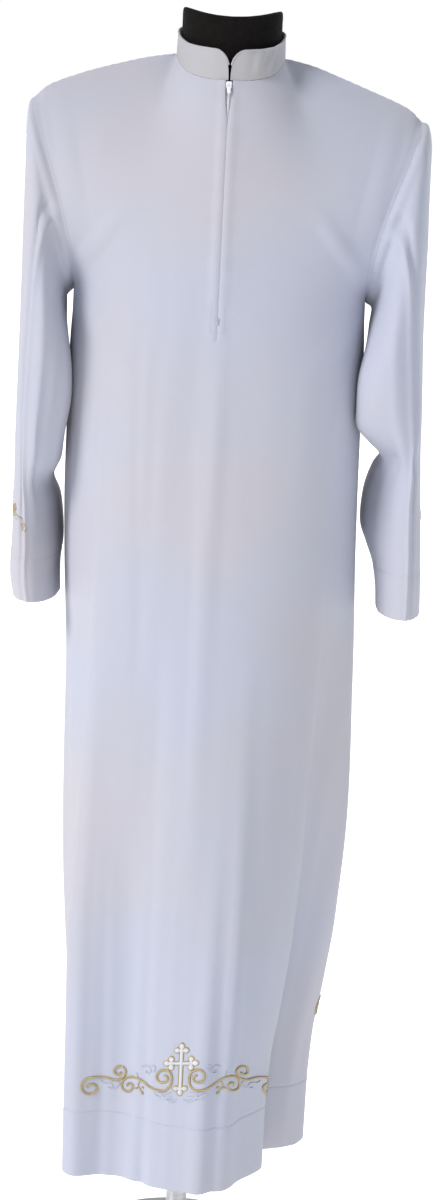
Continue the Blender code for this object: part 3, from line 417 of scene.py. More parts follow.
CENTRE_BACK = [(0.124, 1.145), (0.126, 1.210), (0.1235, 1.275), (0.1140, 1.340), (0.0980, 1.395),
               (0.0830, 1.425), (0.0690, 1.445)]
UNDERARM, ZIP_END, RIGHT_SHOULDER_UP = 1.145, 1.100, 0.008
LOWER = [0.0, 0.035, 0.08, 0.13, 0.19, 0.26, 0.34, 0.43, 0.53, 0.64, 0.76, 0.88, 0.98, 1.05, ZIP_END, UNDERARM]
UPPER = [0.10, 0.20, 0.31, 0.42, 0.53, 0.64, 0.74, 0.83, 0.90, 0.94, 0.972, 1.0]
NECK_STEPS, SHOULDER_STEPS = 6, 10
STEPS = NECK_STEPS + SHOULDER_STEPS
ARM_ROW, LAST_ROW = LOWER.index(UNDERARM), len(LOWER) + len(UPPER) - 1
WALL, SEAM_GAP = 0.0018, 0.0003
ROUNDNESS = 2.25            # of the plain tube: 2 is an ellipse, more is fuller at the corners
print(len(SECTIONS), "sections and", len(SOFT_FOLDS), "soft folds")

# %% [markdown]
# ## One quarter of the body
#
# A quarter runs from the centre to a side seam. Up to the underarm it is a stack of rings. Above, it is a
# sheet stretched between four edges: the chest line, the neckline with the shoulder, the centre and the
# armhole. A blend of the four edges, the same idea as a Coons patch, gives the sheet. Then a few passes
# of easing take out the corner where it meets the tube.

# %% Rings and quarters
def smooth_ring(z, turn):
    """The plain tube of the body at one height, at turns from the centre front to the wearer's left."""
    right, left, front, back = read_table(SECTIONS, z)
    s, c = np.sin(2 * math.pi * turn), np.cos(2 * math.pi * turn)
    power = 2 / ROUNDNESS
    x = np.where(s > 0, left, right) * np.sign(s) * np.abs(s) ** power
    y = -np.where(c > 0, front, back) * np.sign(c) * np.abs(c) ** power
    return np.stack([x, y], axis=1)


def hem_plan(turn):
    """The folded hem seen from above, at the same turns."""
    out = np.zeros((len(turn), 2))
    turn = half_turn(np.asarray(turn))
    quarters = [((turn >= 0) & (turn <= 0.25), HEM_FRONT_LEFT, turn * 4),
                (turn > 0.25, HEM_BACK_LEFT, turn * 4 - 1),
                ((turn < 0) & (turn >= -0.25), HEM_FRONT_RIGHT, -turn * 4),
                (turn < -0.25, HEM_BACK_RIGHT, -turn * 4 - 1)]
    for inside, rows, share in quarters:
        if inside.any():
            out[inside] = along(rows, share[inside])
    return out


def body_ring(z, turn):
    """One height of the skirt and chest: the plain tube, the hem's folds and the soft folds."""
    strength = read_table(FOLD_STRENGTH, z)[0]
    ring = smooth_ring(z, turn) + strength * (hem_plan(turn) - smooth_ring(0.0, turn))
    outward = unit(ring)
    for at, half, high, low, top, lean in SOFT_FOLDS:
        middle, reach = (low + top) / 2, (top - low) / 2
        there = half_turn(turn - at - lean * max(z, 0) / 1.2)
        ring = ring + outward * (high * bump(there / half) * bump((z - middle) / reach))[:, None]
    return np.column_stack([ring, np.full(len(turn), z)])


def columns(side):
    """Turns of one quarter's columns, closer together at the knife fold."""
    even = np.linspace(0, 1, STEPS + 1)
    if side == "fold":
        return through([0, 0.22, 0.34, 0.80, 1], [0, 0.36, 0.47, 0.78, 1], even) * 0.25
    return even * 0.25


def mirrored(points, side):
    """Points of the wearer's left side carried over to either side."""
    points = np.asarray(points, float) * [side, 1, 1]
    if side < 0:
        reach, high = np.abs(points[:, 0]), points[:, 2]
        points[:, 2] += RIGHT_SHOULDER_UP * ease((reach - 0.07) / 0.12) * ease((high - 1.20) / 0.15)
    return points


def quarter(front, side):
    """Outer points of a quarter of the body, rows from the hem up, columns from the centre to the side."""
    turn = columns("fold" if front and side > 0 else "plain")
    turn = side * (turn if front else 0.5 - turn)
    low = np.stack([body_ring(z, turn) for z in LOWER])
    neck = mirrored(NECK_FRONT if front else NECK_BACK[::-1], side)
    shoulder, arm = mirrored(SHOULDER, side), mirrored(ARM_FRONT if front else ARM_BACK, side)
    top = np.vstack([along(neck, np.linspace(0, 1, NECK_STEPS + 1)),
                     along(shoulder, np.linspace(0, 1, SHOULDER_STEPS + 1))[1:]])
    middle = along([(0, y, z) for y, z in (CENTRE_FRONT if front else CENTRE_BACK)], UPPER)
    middle = np.vstack([low[-1, :1], middle])
    edge = np.vstack([low[-1, -1:], along(arm, UPPER)])
    base = low[-1]
    v = np.array([0.0] + UPPER)[:, None, None]
    reach, above = lengths(base), lengths(top)
    s = (0.5 * reach / reach[-1] + 0.5 * above / above[-1])[None, :, None]
    sheet = ((1 - v) * base[None] + v * top[None] + (1 - s) * middle[:, None] + s * edge[:, None]
             - (1 - v) * ((1 - s) * base[0] + s * base[-1]) - v * ((1 - s) * top[0] + s * top[-1]))
    # across the chest the cloth bridges softly from the centre to the armhole
    line = middle[:, None] + (edge - middle)[:, None] * s
    arc = (1 - np.sqrt(1 - (0.9 * s[:, :, 0]) ** 2)) / 0.564
    line[:, :, 1] = middle[:, None, 1] + (edge - middle)[:, None, 1] * arc
    bridge = ease(v / 0.3) * (1 - ease((v - 0.55) / 0.45))
    sheet += 0.9 * bridge * (line - sheet)
    whole = np.concatenate([low, sheet[1:]])
    upright = 0.5 * np.linspace(1.0, 0.15, len(whole) - ARM_ROW)[:, None, None]
    across = 0.6 * (1 - ease((v[1:-1] - 0.6) / 0.37))
    for _ in range(8):
        inner = whole[ARM_ROW - 1:-1, 1:-1]
        inner += upright * ((whole[ARM_ROW - 2:-2, 1:-1] + whole[ARM_ROW:, 1:-1]) / 2 - inner)
        chest = whole[ARM_ROW + 1:-1]
        chest[:, 1:-1] += across * ((chest[:, 2:] + chest[:, :-2]) / 2 - chest[:, 1:-1])
    whole[:, :, 2] += HEM
    return whole


def panel(front):
    """A whole front or back, columns from the wearer's right to the left, and the turn of each column."""
    left, right = quarter(front, 1), quarter(front, -1)
    centre = (left[:, :1] + right[:, :1]) / 2
    turns = [side * (t if front else 0.5 - t) for side, t in
             ((-1, columns("plain")[:0:-1]), (1, columns("fold" if front else "plain")))]
    if not front:
        turns[0] = turns[0] + 1.0
    return np.concatenate([right[:, :0:-1], centre, left[:, 1:]], axis=1), np.concatenate(turns)


front_grid, front_turns = panel(True)
back_grid, back_turns = panel(False)
for edge in (0, -1):   # the two panels share their side seams
    seam = (front_grid[:ARM_ROW + 1, edge] + back_grid[:ARM_ROW + 1, edge]) / 2
    front_grid[:ARM_ROW + 1, edge] = seam
    back_grid[:ARM_ROW + 1, edge] = seam
print("panel rows and columns:", front_grid.shape[:2])

# %% [markdown]
# ## From coarse panels to fine cloth
#
# The panels so far have the same few rows as the frame. We read them again at a row and a column every
# few millimetres, take the folds of the skirt straight from their formula, and then lift and sink the
# cloth along its normal for what only cloth has: long ripples, the dent of a stitched hem, puckers at a
# seam, drag lines from the underarm. One seeded random generator lays the ripples, so that every run
# makes the same robe.

# %% Fine panels
FRONT_COLUMNS, BACK_COLUMNS = 168, 132
SKIRT_ROWS, CHEST_ROWS = 176, 62
HEM_STITCH = 0.090          # height of the stitched edge of the turned-up hem


def fine_rows():
    """Fractional rows of a panel, closer together at the hem's stitches."""
    skirt = np.linspace(0, UNDERARM, SKIRT_ROWS)
    stitched = HEM_STITCH + np.array([-0.0045, -0.003, -0.0018, -0.0009, 0.0, 0.0009, 0.0018, 0.003, 0.0045])
    skirt = np.sort(np.concatenate([skirt[np.abs(skirt - HEM_STITCH) > 0.005], stitched, [0.0018, 0.004]]))
    chest = np.linspace(ARM_ROW, LAST_ROW, CHEST_ROWS)[1:]
    return np.concatenate([np.interp(skirt, LOWER, np.arange(len(LOWER))), chest])


def fine_panel(grid, turns, count):
    """The panel at fine rows and columns, its skirt taken from the folds' formula."""
    at_row, at_col = fine_rows(), np.linspace(0, 2 * STEPS, count + 1)
    points = finer(grid, at_row, at_col)
    turn = np.interp(at_col, np.arange(len(turns)), turns)
    coarse = np.stack([body_ring(z, turns) for z in LOWER])
    skirt = at_row <= ARM_ROW
    heights = np.interp(at_row[skirt], np.arange(len(LOWER)), LOWER)
    exact = np.stack([body_ring(z, turn) for z in heights])
    read = finer(coarse, at_row[skirt], at_col)
    fade = 1 - ease((heights - 0.80) / 0.20)
    points[skirt] += (exact - read) * fade[:, None, None]
    share = fade[:, None]
    points[skirt, :, 2] = points[skirt, :, 2] * (1 - share) + (HEM + heights[:, None]) * share
    return points


def spread_out(points):
    """Each point's place on the flat cloth, in metres, from lengths along rows and columns."""
    across = lengths(points, 1)
    across -= across[:, [points.shape[1] // 2]]
    return np.stack([across, lengths(points, 0)], axis=2)


def grid_normals(points):
    """Unit normals of a grid, on one of its two sides."""
    return unit(np.cross(np.gradient(points, axis=1), np.gradient(points, axis=0)))


def turned_out(n, away):
    """Normals, or their opposites if those agree better with the directions away from the middle."""
    return n if np.sum(n * away) > 0 else -n


def normals(points, outward):
    """Unit normals of a grid, on the side of the sample vector at its middle."""
    n = grid_normals(points)
    middle = n[points.shape[0] // 2, points.shape[1] // 2]
    return n if np.dot(middle, outward) > 0 else -n


front_points = fine_panel(front_grid, front_turns, FRONT_COLUMNS)
back_points = fine_panel(back_grid, back_turns, BACK_COLUMNS)
print("front:", front_points.shape[:2], "back:", back_points.shape[:2])

# %% [markdown]
# ## Ripples, dents and puckers
#
# Each of these is a small height on the cloth. A ripple is long, upright and a little askew. A stitched
# hem sinks along its stitches, and the doubled cloth below it stands out by a thread. Close to a seam the
# cloth gathers in short waves, which fade within a finger's width.

# %% Heights on the cloth
rng = np.random.default_rng(11)


def ripples(spread, height, count, tall, strength):
    """Long soft ripples at seeded places. tall is their length as a share of the piece."""
    wide = spread[..., 0]
    low, high = wide.min(), wide.max()
    lift = np.zeros_like(wide)
    for _ in range(count):
        at, half = rng.uniform(low, high), rng.uniform(0.010, 0.034)
        middle, reach = rng.uniform(-0.1, 1.1), rng.uniform(0.25, 0.55) * tall
        lean, rise = rng.uniform(-0.05, 0.05), rng.uniform(0.35, 1.0) * strength * rng.choice([-1, 1])
        lift += rise * bump((wide - at - lean * (height - middle)) / half) * bump((height - middle) / reach)
    return lift


def stitched_hem(height, at=HEM_STITCH):
    """A dent along the stitches, and the doubled cloth below them."""
    return -0.0006 * np.exp(-((height - at) / 0.0014) ** 2) + 0.0004 * (1 - ease((height - at + 0.001) / 0.004))


def seam_puckers(from_seam, along_seam, wave=0.013, rise=0.00045, reach=0.007):
    """Short waves that fade away from a seam."""
    return rise * np.sin(2 * math.pi * along_seam / wave) * np.exp(-from_seam / reach)


def drag(points, start, end, half, rise):
    """A straight fold seen from the front, from one place to another, in x and height above the hem."""
    a, b = np.array(start, float), np.array(end, float)
    here = np.stack([points[..., 0], points[..., 2] - HEM], axis=-1)
    t = ((here - a) @ (b - a)) / ((b - a) @ (b - a))
    off = np.linalg.norm(here - a - np.clip(t, 0, 1)[..., None] * (b - a), axis=-1)
    return rise * bump(off / half) * bump((t - 0.45) / 0.62)


SKIRT_FOLDS = [   # x at the hem, half width, height, highest
    (-0.138, 0.016, 0.0030, 0.75), (-0.094, 0.024, -0.0042, 0.62), (-0.062, 0.015, 0.0024, 0.55),
    (-0.046, 0.010, -0.0026, 0.50), (-0.034, 0.011, 0.0042, 0.66), (0.000, 0.020, -0.0036, 0.55),
    (0.030, 0.014, 0.0034, 0.72), (0.046, 0.010, -0.0020, 0.50), (0.062, 0.014, 0.0030, 0.60),
    (0.086, 0.013, -0.0026, 0.50),
]
DRAG_LINES = [    # start and end on either side, half width, height
    ((0.186, 1.165), (0.105, 1.270), 0.016, 0.0026), ((0.186, 1.150), (0.110, 1.060), 0.018, 0.0022),
    ((0.180, 1.120), (0.150, 0.880), 0.016, 0.0024), ((0.205, 1.372), (0.165, 1.180), 0.018, 0.0018),
]
front_spread, back_spread = spread_out(front_points), spread_out(back_points)
for points, spread, is_front in ((front_points, front_spread, True), (back_points, back_spread, False)):
    height = points[..., 2] - HEM
    from_right = lengths(points, 1)
    from_left = from_right[:, -1:] - from_right
    lift = ripples(spread, height, 46 if is_front else 40, 0.9, 0.0016) * (1 - 0.5 * ease((height - 0.9) / 0.3))
    lift += ripples(spread, height, 60, 0.35, 0.0006)
    lift += stitched_hem(height)
    for from_seam in (from_right, from_left):
        lift += seam_puckers(from_seam, spread[..., 1])
    top_seam = (height.max(axis=0)[None, :] - height)
    lift += seam_puckers(top_seam, spread[..., 0], wave=0.011, rise=0.0003)
    for side in (-1, 1):
        for start, end, half, rise in DRAG_LINES:
            lift += drag(points, (side * start[0], start[1]), (side * end[0], end[1]), half, rise)
    if is_front:
        faces_front = points[..., 1] < -0.07
        for x, half, rise, top in SKIRT_FOLDS:
            aside = points[..., 0] - x * (1 + 0.12 * height)
            lift += rise * bump(aside / (1.35 * half)) * bump((height - 0.04) / top) * faces_front
        # the zip stiffens the cloth: a low ridge either side, slightly wavy
        beside = np.abs(spread[..., 0])
        on_zip = ease((height - ZIP_END + 0.01) / 0.02)
        lift += on_zip * (0.0012 * bump((beside - 0.006) / 0.007)
                          + 0.0006 * np.sin(2 * math.pi * height / 0.037) * bump(beside / 0.022))
        lift += 0.0022 * bump((spread[..., 0] - 0.006) / 0.012) * bump((height - 0.98) / 0.16)
        for from_seam in (from_right, from_left):   # a shallow groove along each side seam
            lift -= 0.0009 * np.exp(-((from_seam - 0.004) / 0.003) ** 2)
    still = ease(np.minimum(from_right, from_left) / 0.004)[..., None]   # seams stay where they are sewn
    points += normals(points, (0, -1 if is_front else 1, 0)) * lift[..., None] * still
print("front ripples from", round(float(lift.min()) * 1000, 1), "to", round(float(lift.max()) * 1000, 1), "mm")

# %% [markdown]
# ## A grid becomes a piece of cloth
#
# Blender's grid operator makes the faces, and we only move its vertices to where the cloth is. The flat
# places go into a UV map. A closed piece, such as a sleeve, is the same grid whose last column lies on
# its first, merged. Solidify then gives the wall, inwards, and a small Bevel rounds the cut edges.

# %% Cloth pieces
def flat_layer(bm):
    """The bmesh's UV layer, made if it has none."""
    return bm.loops.layers.uv["flat"] if bm.loops.layers.uv else bm.loops.layers.uv.new("flat")


def lay_grid(bm, points, spread):
    """A grid of faces laid on the points, with a UV map in metres."""
    rows, cols = points.shape[:2]
    made = bmesh.ops.create_grid(bm, x_segments=cols - 1, y_segments=rows - 1, size=0.5)["verts"]
    flat = flat_layer(bm)
    where = dict(zip(made, spread.reshape(-1, 2)))
    for vert, place in zip(made, points.reshape(-1, 3)):
        vert.co = place
    for vert in made:
        for loop in vert.link_loops:
            loop[flat].uv = where[vert]
    return made


def grid_mesh(points, spread, closed=False):
    """A bmesh with one grid. closed merges its last column with its first."""
    bm = bmesh.new()
    lay_grid(bm, points, spread)
    if closed:
        bmesh.ops.remove_doubles(bm, verts=bm.verts, dist=1e-6)
        bmesh.ops.recalc_face_normals(bm, faces=bm.faces)
    return bm


def face_towards(bm, outward):
    """Turn every face over if the piece faces the other way."""
    bm.normal_update()
    total = Vector((0, 0, 0))
    for face in bm.faces:
        total += face.normal * face.calc_area()
    if total.dot(Vector(outward)) < 0:
        bmesh.ops.reverse_faces(bm, faces=bm.faces)


def face_outwards(bm, middle=(0, 0, 0)):
    """Turn every face over if the piece faces its own upright axis."""
    bm.normal_update()
    axis = Vector(middle)
    outside = sum((f.calc_center_median() - axis).to_2d().dot(f.normal.to_2d()) * f.calc_area()
                  for f in bm.faces)
    if outside < 0:
        bmesh.ops.reverse_faces(bm, faces=bm.faces)


def keep(bm, name, material, body="gown_on_form"):
    """The bmesh as an object that rides on a body and has its finish."""
    mesh = bpy.data.meshes.new(name)
    bm.to_mesh(mesh)
    bm.free()
    mesh.shade_smooth()
    mesh.materials.append(material)
    piece = bpy.data.objects.new(name, mesh)
    bpy.context.scene.collection.objects.link(piece)
    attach(piece, body)
    return piece


def round_edges(piece, width, degrees=50, segments=2):
    """A small round on every edge that is sharper than an angle."""
    edge = piece.modifiers.new("edge", "BEVEL")
    edge.limit_method, edge.angle_limit = "ANGLE", math.radians(degrees)
    edge.width, edge.segments = width, segments


def give_wall(piece, thick, rounding, segments=2):
    """Wall thickness inwards, and a small round on its cut edges."""
    wall = piece.modifiers.new("wall", "SOLIDIFY")
    wall.thickness, wall.offset, wall.use_rim = thick, -1, True
    round_edges(piece, rounding, segments=segments)


def slit_half_gap(depth):
    """Half the opening of the zip at a depth below the neck seam: narrow, and wider at the slider."""
    return 0.00003 + 0.0044 * bump(np.clip((depth - 0.004) / 0.052, 0, 1))


def cut_zip(bm, columns_count):
    """Open the front along its middle column above the zip's end."""
    bm.verts.ensure_lookup_table()
    low_end = HEM + ZIP_END - 0.004
    line = [v for v in bm.verts if v.index % columns_count == columns_count // 2 and v.co.z > low_end]
    edges = [e for e in bm.edges if e.verts[0] in line and e.verts[1] in line]
    top, low = max(v.co.z for v in line), min(v.co.z for v in line)
    places = {round(v.co.z, 7) for v in line if v.co.z > low}
    middle = line[0].co.x
    bmesh.ops.split_edges(bm, edges=edges)
    for vert in bm.verts:
        if abs(vert.co.x - middle) < 1e-4 and vert.co.y < 0 and round(vert.co.z, 7) in places:
            side = 1 if sum(f.calc_center_median().x - middle for f in vert.link_faces) > 0 else -1
            vert.co.x += side * float(slit_half_gap(top - vert.co.z))


bm = grid_mesh(front_points, front_spread)
face_towards(bm, (0, -1, 0))
cut_zip(bm, FRONT_COLUMNS + 1)
robe_front = keep(bm, "robe_front", WHITE)
give_wall(robe_front, WALL, 0.0002)
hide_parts("front")

bm = grid_mesh(back_points, back_spread)
face_towards(bm, (0, 1, 0))
robe_back = keep(bm, "robe_back", WHITE)
give_wall(robe_back, WALL, 0.0006)
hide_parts("back")
print("faces:", len(robe_front.data.polygons), len(robe_back.data.polygons))

# %% [markdown]
# ## Sleeves
#
# A set-in sleeve starts as the armhole's own outline. Empty, it hangs nearly flat: the shoulder carries it,
# the underarm pulls its inner side up to the body, and below that the cloth falls in from both sides. A
# table says where the outer and the inner side are, ring by ring, and how far the front and the back reach.

# %% Sleeve tables and rings
SLEEVE_LEFT = [   # height and x of the outer side, of the inner side, reach to front and back, shift, y inside
    (1.360, 0.2475, 1.1435, 0.1870, 0.080, 0.082, 0.00, 0.000),
    (1.337, 0.2530, 1.137, 0.1885, 0.084, 0.086, 0.05, -0.012),
    (1.296, 0.2545, 1.120, 0.1868, 0.087, 0.088, 0.15, -0.030),
    (1.240, 0.2555, 1.092, 0.1842, 0.088, 0.088, 0.28, -0.046),
    (1.175, 0.2560, 1.058, 0.1780, 0.087, 0.087, 0.38, -0.055),
    (1.110, 0.2570, 1.022, 0.1772, 0.085, 0.086, 0.46, -0.055),
    (1.040, 0.2600, 0.995, 0.1790, 0.083, 0.085, 0.50, -0.046),
    (0.995, 0.2620, 0.975, 0.1955, 0.082, 0.085, 0.46, -0.032),
    (0.965, 0.2635, 0.955, 0.2125, 0.081, 0.085, 0.30, -0.006),
    (0.938, 0.2645, 0.934, 0.2055, 0.081, 0.085, 0.42, 0.016),
    (0.905, 0.2660, 0.902, 0.1970, 0.081, 0.085, 0.44, 0.026),
    (0.865, 0.2690, 0.862, 0.1950, 0.081, 0.084, 0.42, 0.024),
    (0.838, 0.2715, 0.838, 0.2030, 0.081, 0.084, 0.34, 0.014),
    (0.812, 0.2735, 0.812, 0.2130, 0.081, 0.083, 0.22, 0.006),
    (0.785, 0.2750, 0.784, 0.2185, 0.081, 0.083, 0.14, 0.000),
    (0.757, 0.2760, 0.755, 0.2210, 0.081, 0.082, 0.10, 0.000),
]
SLEEVE_RIGHT = [
    (1.362, 0.2440, 1.1435, 0.1870, 0.080, 0.082, 0.00, 0.000),
    (1.337, 0.2460, 1.137, 0.1900, 0.084, 0.086, 0.05, -0.012),
    (1.290, 0.2465, 1.120, 0.1885, 0.087, 0.088, 0.12, -0.030),
    (1.230, 0.2465, 1.090, 0.1840, 0.088, 0.088, 0.24, -0.046),
    (1.160, 0.2465, 1.052, 0.1787, 0.087, 0.087, 0.34, -0.052),
    (1.090, 0.2470, 1.012, 0.1780, 0.085, 0.086, 0.40, -0.052),
    (1.020, 0.2475, 0.970, 0.1845, 0.083, 0.085, 0.40, -0.048),
    (0.960, 0.2480, 0.935, 0.1895, 0.082, 0.085, 0.34, -0.034),
    (0.918, 0.2485, 0.905, 0.2010, 0.081, 0.085, 0.20, -0.004),
    (0.885, 0.2495, 0.878, 0.1935, 0.081, 0.085, 0.22, 0.016),
    (0.850, 0.2505, 0.848, 0.1895, 0.081, 0.085, 0.20, 0.020),
    (0.820, 0.2515, 0.820, 0.1880, 0.081, 0.084, 0.16, 0.014),
    (0.798, 0.2520, 0.798, 0.1905, 0.081, 0.084, 0.12, 0.006),
    (0.778, 0.2515, 0.777, 0.1905, 0.081, 0.083, 0.08, 0.000),
    (0.757, 0.2480, 0.755, 0.1895, 0.081, 0.082, 0.05, 0.000),
]
SLEEVE_FOLDS = [   # turn of the ring (0 outer, 0.25 front, 0.5 inner), half width, height, from, to
    (0.375, 0.070, -0.0070, 0.74, 1.26), (0.290, 0.055, 0.0025, 0.78, 1.24), (0.125, 0.060, -0.0022, 0.85, 1.32),
    (0.640, 0.065, -0.0045, 0.80, 1.20), (0.860, 0.065, -0.0030, 0.85, 1.30),
]
HUG = 0.0095   # the web below the underarm lies in front of the body: how far its back steps out, and where
FREE_ROWS = 4.5
HUG_AT = [(0.70, 0.0), (0.94, 0.0), (0.98, 1.0), (1.09, 1.0), (1.125, 0.0), (1.20, 0.0)]
sleeve_shares = 1 - np.array([0.0] + UPPER)[::-1]
SLEEVE_TURNS = np.concatenate([0.5 * sleeve_shares, 0.5 + 0.5 * (1 - sleeve_shares[::-1])[1:-1]])


def sleeve_rings(table, armhole, side):
    """Rings of a sleeve from the armhole down. Column 0 is the shoulder tip, then round by the front."""
    turn = SLEEVE_TURNS
    c, s = np.cos(2 * math.pi * turn), np.sin(2 * math.pi * turn)
    rings = [armhole]
    for row, (z_out, x_out, z_in, x_in, front, back, shift, y_in) in enumerate(table):
        centre = np.array([(x_out + x_in) / 2, 0, (z_out + z_in) / 2])
        half = np.array([(x_out - x_in) / 2, 0, (z_out - z_in) / 2])
        ring = centre + c[:, None] * half
        ring[:, 0] += shift * half[0] * np.clip(s, 0, 1) ** 2
        ring[:, 1] = np.where(s > 0, -front * np.abs(s) ** 0.9, back * np.abs(s) ** 0.9) + y_in * (0.5 - 0.5 * c) ** 2
        behind = np.clip((ring[:, 1] - y_in) / 0.045, 0, 1) * (0.5 - 0.5 * c) ** 3
        ring[:, 0] += HUG * behind * read_table(HUG_AT, z_in)[0]
        away = unit(np.column_stack([c * front, -s * max(half[0], 0.02), np.zeros(len(turn))]))
        for at, wide, high, low, top in SLEEVE_FOLDS:
            level = bump((ring[:, 2] - (low + top) / 2) / ((top - low) / 2))
            ring += away * (high * bump(half_turn(turn - at) / wide) * level)[:, None]
        ring[:, 2] += HEM
        ring[:, 0] *= side
        of_armhole = (1 - ease((row + 1) / FREE_ROWS)) * 0.55   # the first rings keep some of its outline
        drop = ring.mean(axis=0) - armhole.mean(axis=0)
        rings.append((armhole + drop) * of_armhole + ring * (1 - of_armhole))
    return np.stack(rings)


arm_rows = np.arange(ARM_ROW, LAST_ROW + 1)
armholes = {side: np.vstack([front_grid[arm_rows[::-1], edge], back_grid[arm_rows[1:-1], edge]])
            for side, edge in ((1, -1), (-1, 0))}
print("armhole points:", len(armholes[1]))

# %% [markdown]
# ## Fine sleeves
#
# The rings are read again more finely, round and round, then get the same small heights as the body:
# ripples that run down the arm, the cuff's stitched hem, puckers where the sleeve is sewn in, and one
# pressed crease that starts in a small tuck at the top of the sleeve.

# %% Build the sleeves
CUFF_HEM = 0.055            # depth of the turned-up cuff
SLEEVE_ROUND, SLEEVE_DOWN = 156, 150
SLEEVE_RIPPLES = 34


def fine_sleeve(table, side):
    """Points of a sleeve, rows from the armhole down, and its flat places."""
    rings = sleeve_rings(table, armholes[side], side)
    count = rings.shape[1]
    wrapped = np.concatenate([rings[:, -3:], rings, rings[:, :4]], axis=1)
    at_col = 3 + np.interp(np.linspace(0, 1, SLEEVE_ROUND + 1), np.append(SLEEVE_TURNS, 1.0), np.arange(count + 1))
    last = len(rings) - 1
    points = finer(wrapped, np.linspace(0, last, SLEEVE_DOWN), at_col)
    points[:, -1] = points[:, 0]
    down, around = lengths(points, 0), lengths(points, 1)
    above_cuff = down[-1:] - down
    n = grid_normals(np.concatenate([points[:, -3:-1], points, points[:, 1:3]], axis=1))[:, 2:-2]
    n = turned_out(n, points - points.mean(axis=1, keepdims=True))
    turn = np.interp(at_col - 3, np.arange(count + 1), np.append(SLEEVE_TURNS, 1.0))[None, :]
    lift = stitched_hem(above_cuff, CUFF_HEM) + seam_puckers(down, around, wave=0.012, rise=0.0006, reach=0.009)
    lift += 0.0013 * np.exp(-((down - 0.007) / 0.005) ** 2)   # the sleeve head rolls over its seam
    for _ in range(SLEEVE_RIPPLES):
        at, half = rng.uniform(0, 1), rng.uniform(0.02, 0.07)
        middle_row, reach = rng.uniform(0, 0.62), rng.uniform(0.08, 0.26)
        rise = rng.uniform(0.4, 1.0) * 0.0013 * rng.choice([-1, 1])
        there = half_turn(turn - at - rng.uniform(-0.2, 0.2) * (down - middle_row))
        lift += rise * bump(there / half) * bump((down - middle_row) / reach)
    crease = half_turn(turn - 0.235 - 0.06 * np.exp(-down / 0.05))
    for beside, half, rise, fades in ((0, 0.012, 0.0030, 0.40), (0.028, 0.015, -0.0036, 0.34)):   # ridge and furrow
        tall = ease(down / 0.02) * (1 - ease((down - fades) / 0.3))
        lift += rise * np.exp(-((crease + beside) / half) ** 2) * tall
    points = points + n * (lift * ease(down / 0.004))[..., None]
    points[:, -1] = points[:, 0]
    return points, np.stack([around, down], axis=2)


SIDES = ((1, "left", SLEEVE_LEFT), (-1, "right", SLEEVE_RIGHT))
sleeves, sleeve_points = {}, {}
for side, label, table in SIDES:
    sleeve_points[side], spread = fine_sleeve(table, side)
    bm = grid_mesh(sleeve_points[side], spread, closed=True)
    face_outwards(bm, sleeve_points[side].mean(axis=(0, 1)))
    sleeves[side] = keep(bm, "robe_sleeve_" + label, WHITE)
    give_wall(sleeves[side], WALL, 0.0006)
    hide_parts("sleeve_" + label)
    print(label, "sleeve faces:", len(sleeves[side].data.polygons))

# %% [markdown]
# ## Stand collar
#
# The collar is a strip that stands on the neckline and meets itself at the front, where its corners are
# round. It is two layers with a stiffener between, so its edge is thick and smooth, and it ripples a
# little where it bends round the neck.

# %% Build the collar
COLLAR_HIGH, COLLAR_CORNER = 0.0360, 0.0165
neck_cols = np.arange(SHOULDER_STEPS, 2 * STEPS - SHOULDER_STEPS + 1)
neck_front, neck_back = front_grid[LAST_ROW, neck_cols], back_grid[LAST_ROW, neck_cols]
neck_ring = np.vstack([neck_front[NECK_STEPS:], neck_back[::-1][1:-1], neck_front[:NECK_STEPS + 1]])
neck_long = float(np.linalg.norm(np.diff(neck_ring, axis=0), axis=1).sum())


def collar_points(columns_count=190, rows_count=24):
    """The collar's outer side, rows from the neckline up, columns from the front opening round to it again."""
    close = 0.5 - 0.5 * np.cos(math.pi * np.linspace(0, 1, columns_count))
    share = 0.55 * close + 0.45 * np.linspace(0, 1, columns_count)
    base = along(neck_ring, share)
    s = share * neck_long
    from_end = np.minimum(s, neck_long - s)
    high = (COLLAR_HIGH - 0.0050 * bump((from_end - 0.115) / 0.09)
            - 0.0060 * (0.5 - 0.5 * np.cos(2 * math.pi * share)))
    corner = np.clip(1 - from_end / COLLAR_CORNER, 0, 1)
    high -= COLLAR_CORNER * (1 - np.sqrt(1 - corner ** 2))
    lean = np.column_stack([-0.030 * base[:, 0] / 0.067,
                            np.where(base[:, 1] < 0, 0.10, -0.07) * np.abs(base[:, 1]) / 0.078, np.ones(len(base))])
    grid = []
    for v in np.linspace(0, 1, rows_count):
        line = base + lean * (high * v)[:, None] + [0, 0, SEAM_GAP * 0.6]
        open_up = 0.0014 + 0.0032 * (high * v / 0.030) ** 2
        near = np.clip(1 - from_end / 0.03, 0, 1)
        line[:, 0] += np.where(share < 0.5, 1, -1) * open_up * near
        grid.append(line)
    return np.array(grid), from_end


COLLAR_RUMPLES = [   # way from the front edge, half width, height, lean, middle, only on the wearer's left
    (0.030, 0.009, 0.0016, 0.012, 0.60, True), (0.040, 0.006, -0.0018, 0.014, 0.62, True),
    (0.050, 0.007, 0.0018, 0.016, 0.55, True), (0.062, 0.006, -0.0014, 0.010, 0.50, True),
    (0.034, 0.012, 0.0009, 0.020, 0.35, False), (0.058, 0.013, -0.0010, 0.020, 0.50, False),
    (0.095, 0.014, 0.0009, 0.000, 0.50, False),
]
points, from_end = collar_points()
collar_spread = spread_out(points)
n = turned_out(grid_normals(points), points * [1, 1, 0])
up_share = np.linspace(0, 1, len(points))[:, None]
on_left = points[..., 0] > 0
lift = np.zeros(points.shape[:2])
for at, half, rise, lean, middle, left_only in COLLAR_RUMPLES:
    there = from_end[None, :] - at - lean * up_share
    lift += rise * bump(there / half) * bump((up_share - middle) / 0.5) * (on_left if left_only else 1)
below_edge = collar_spread[..., 1].max(axis=0)[None, :] - collar_spread[..., 1]
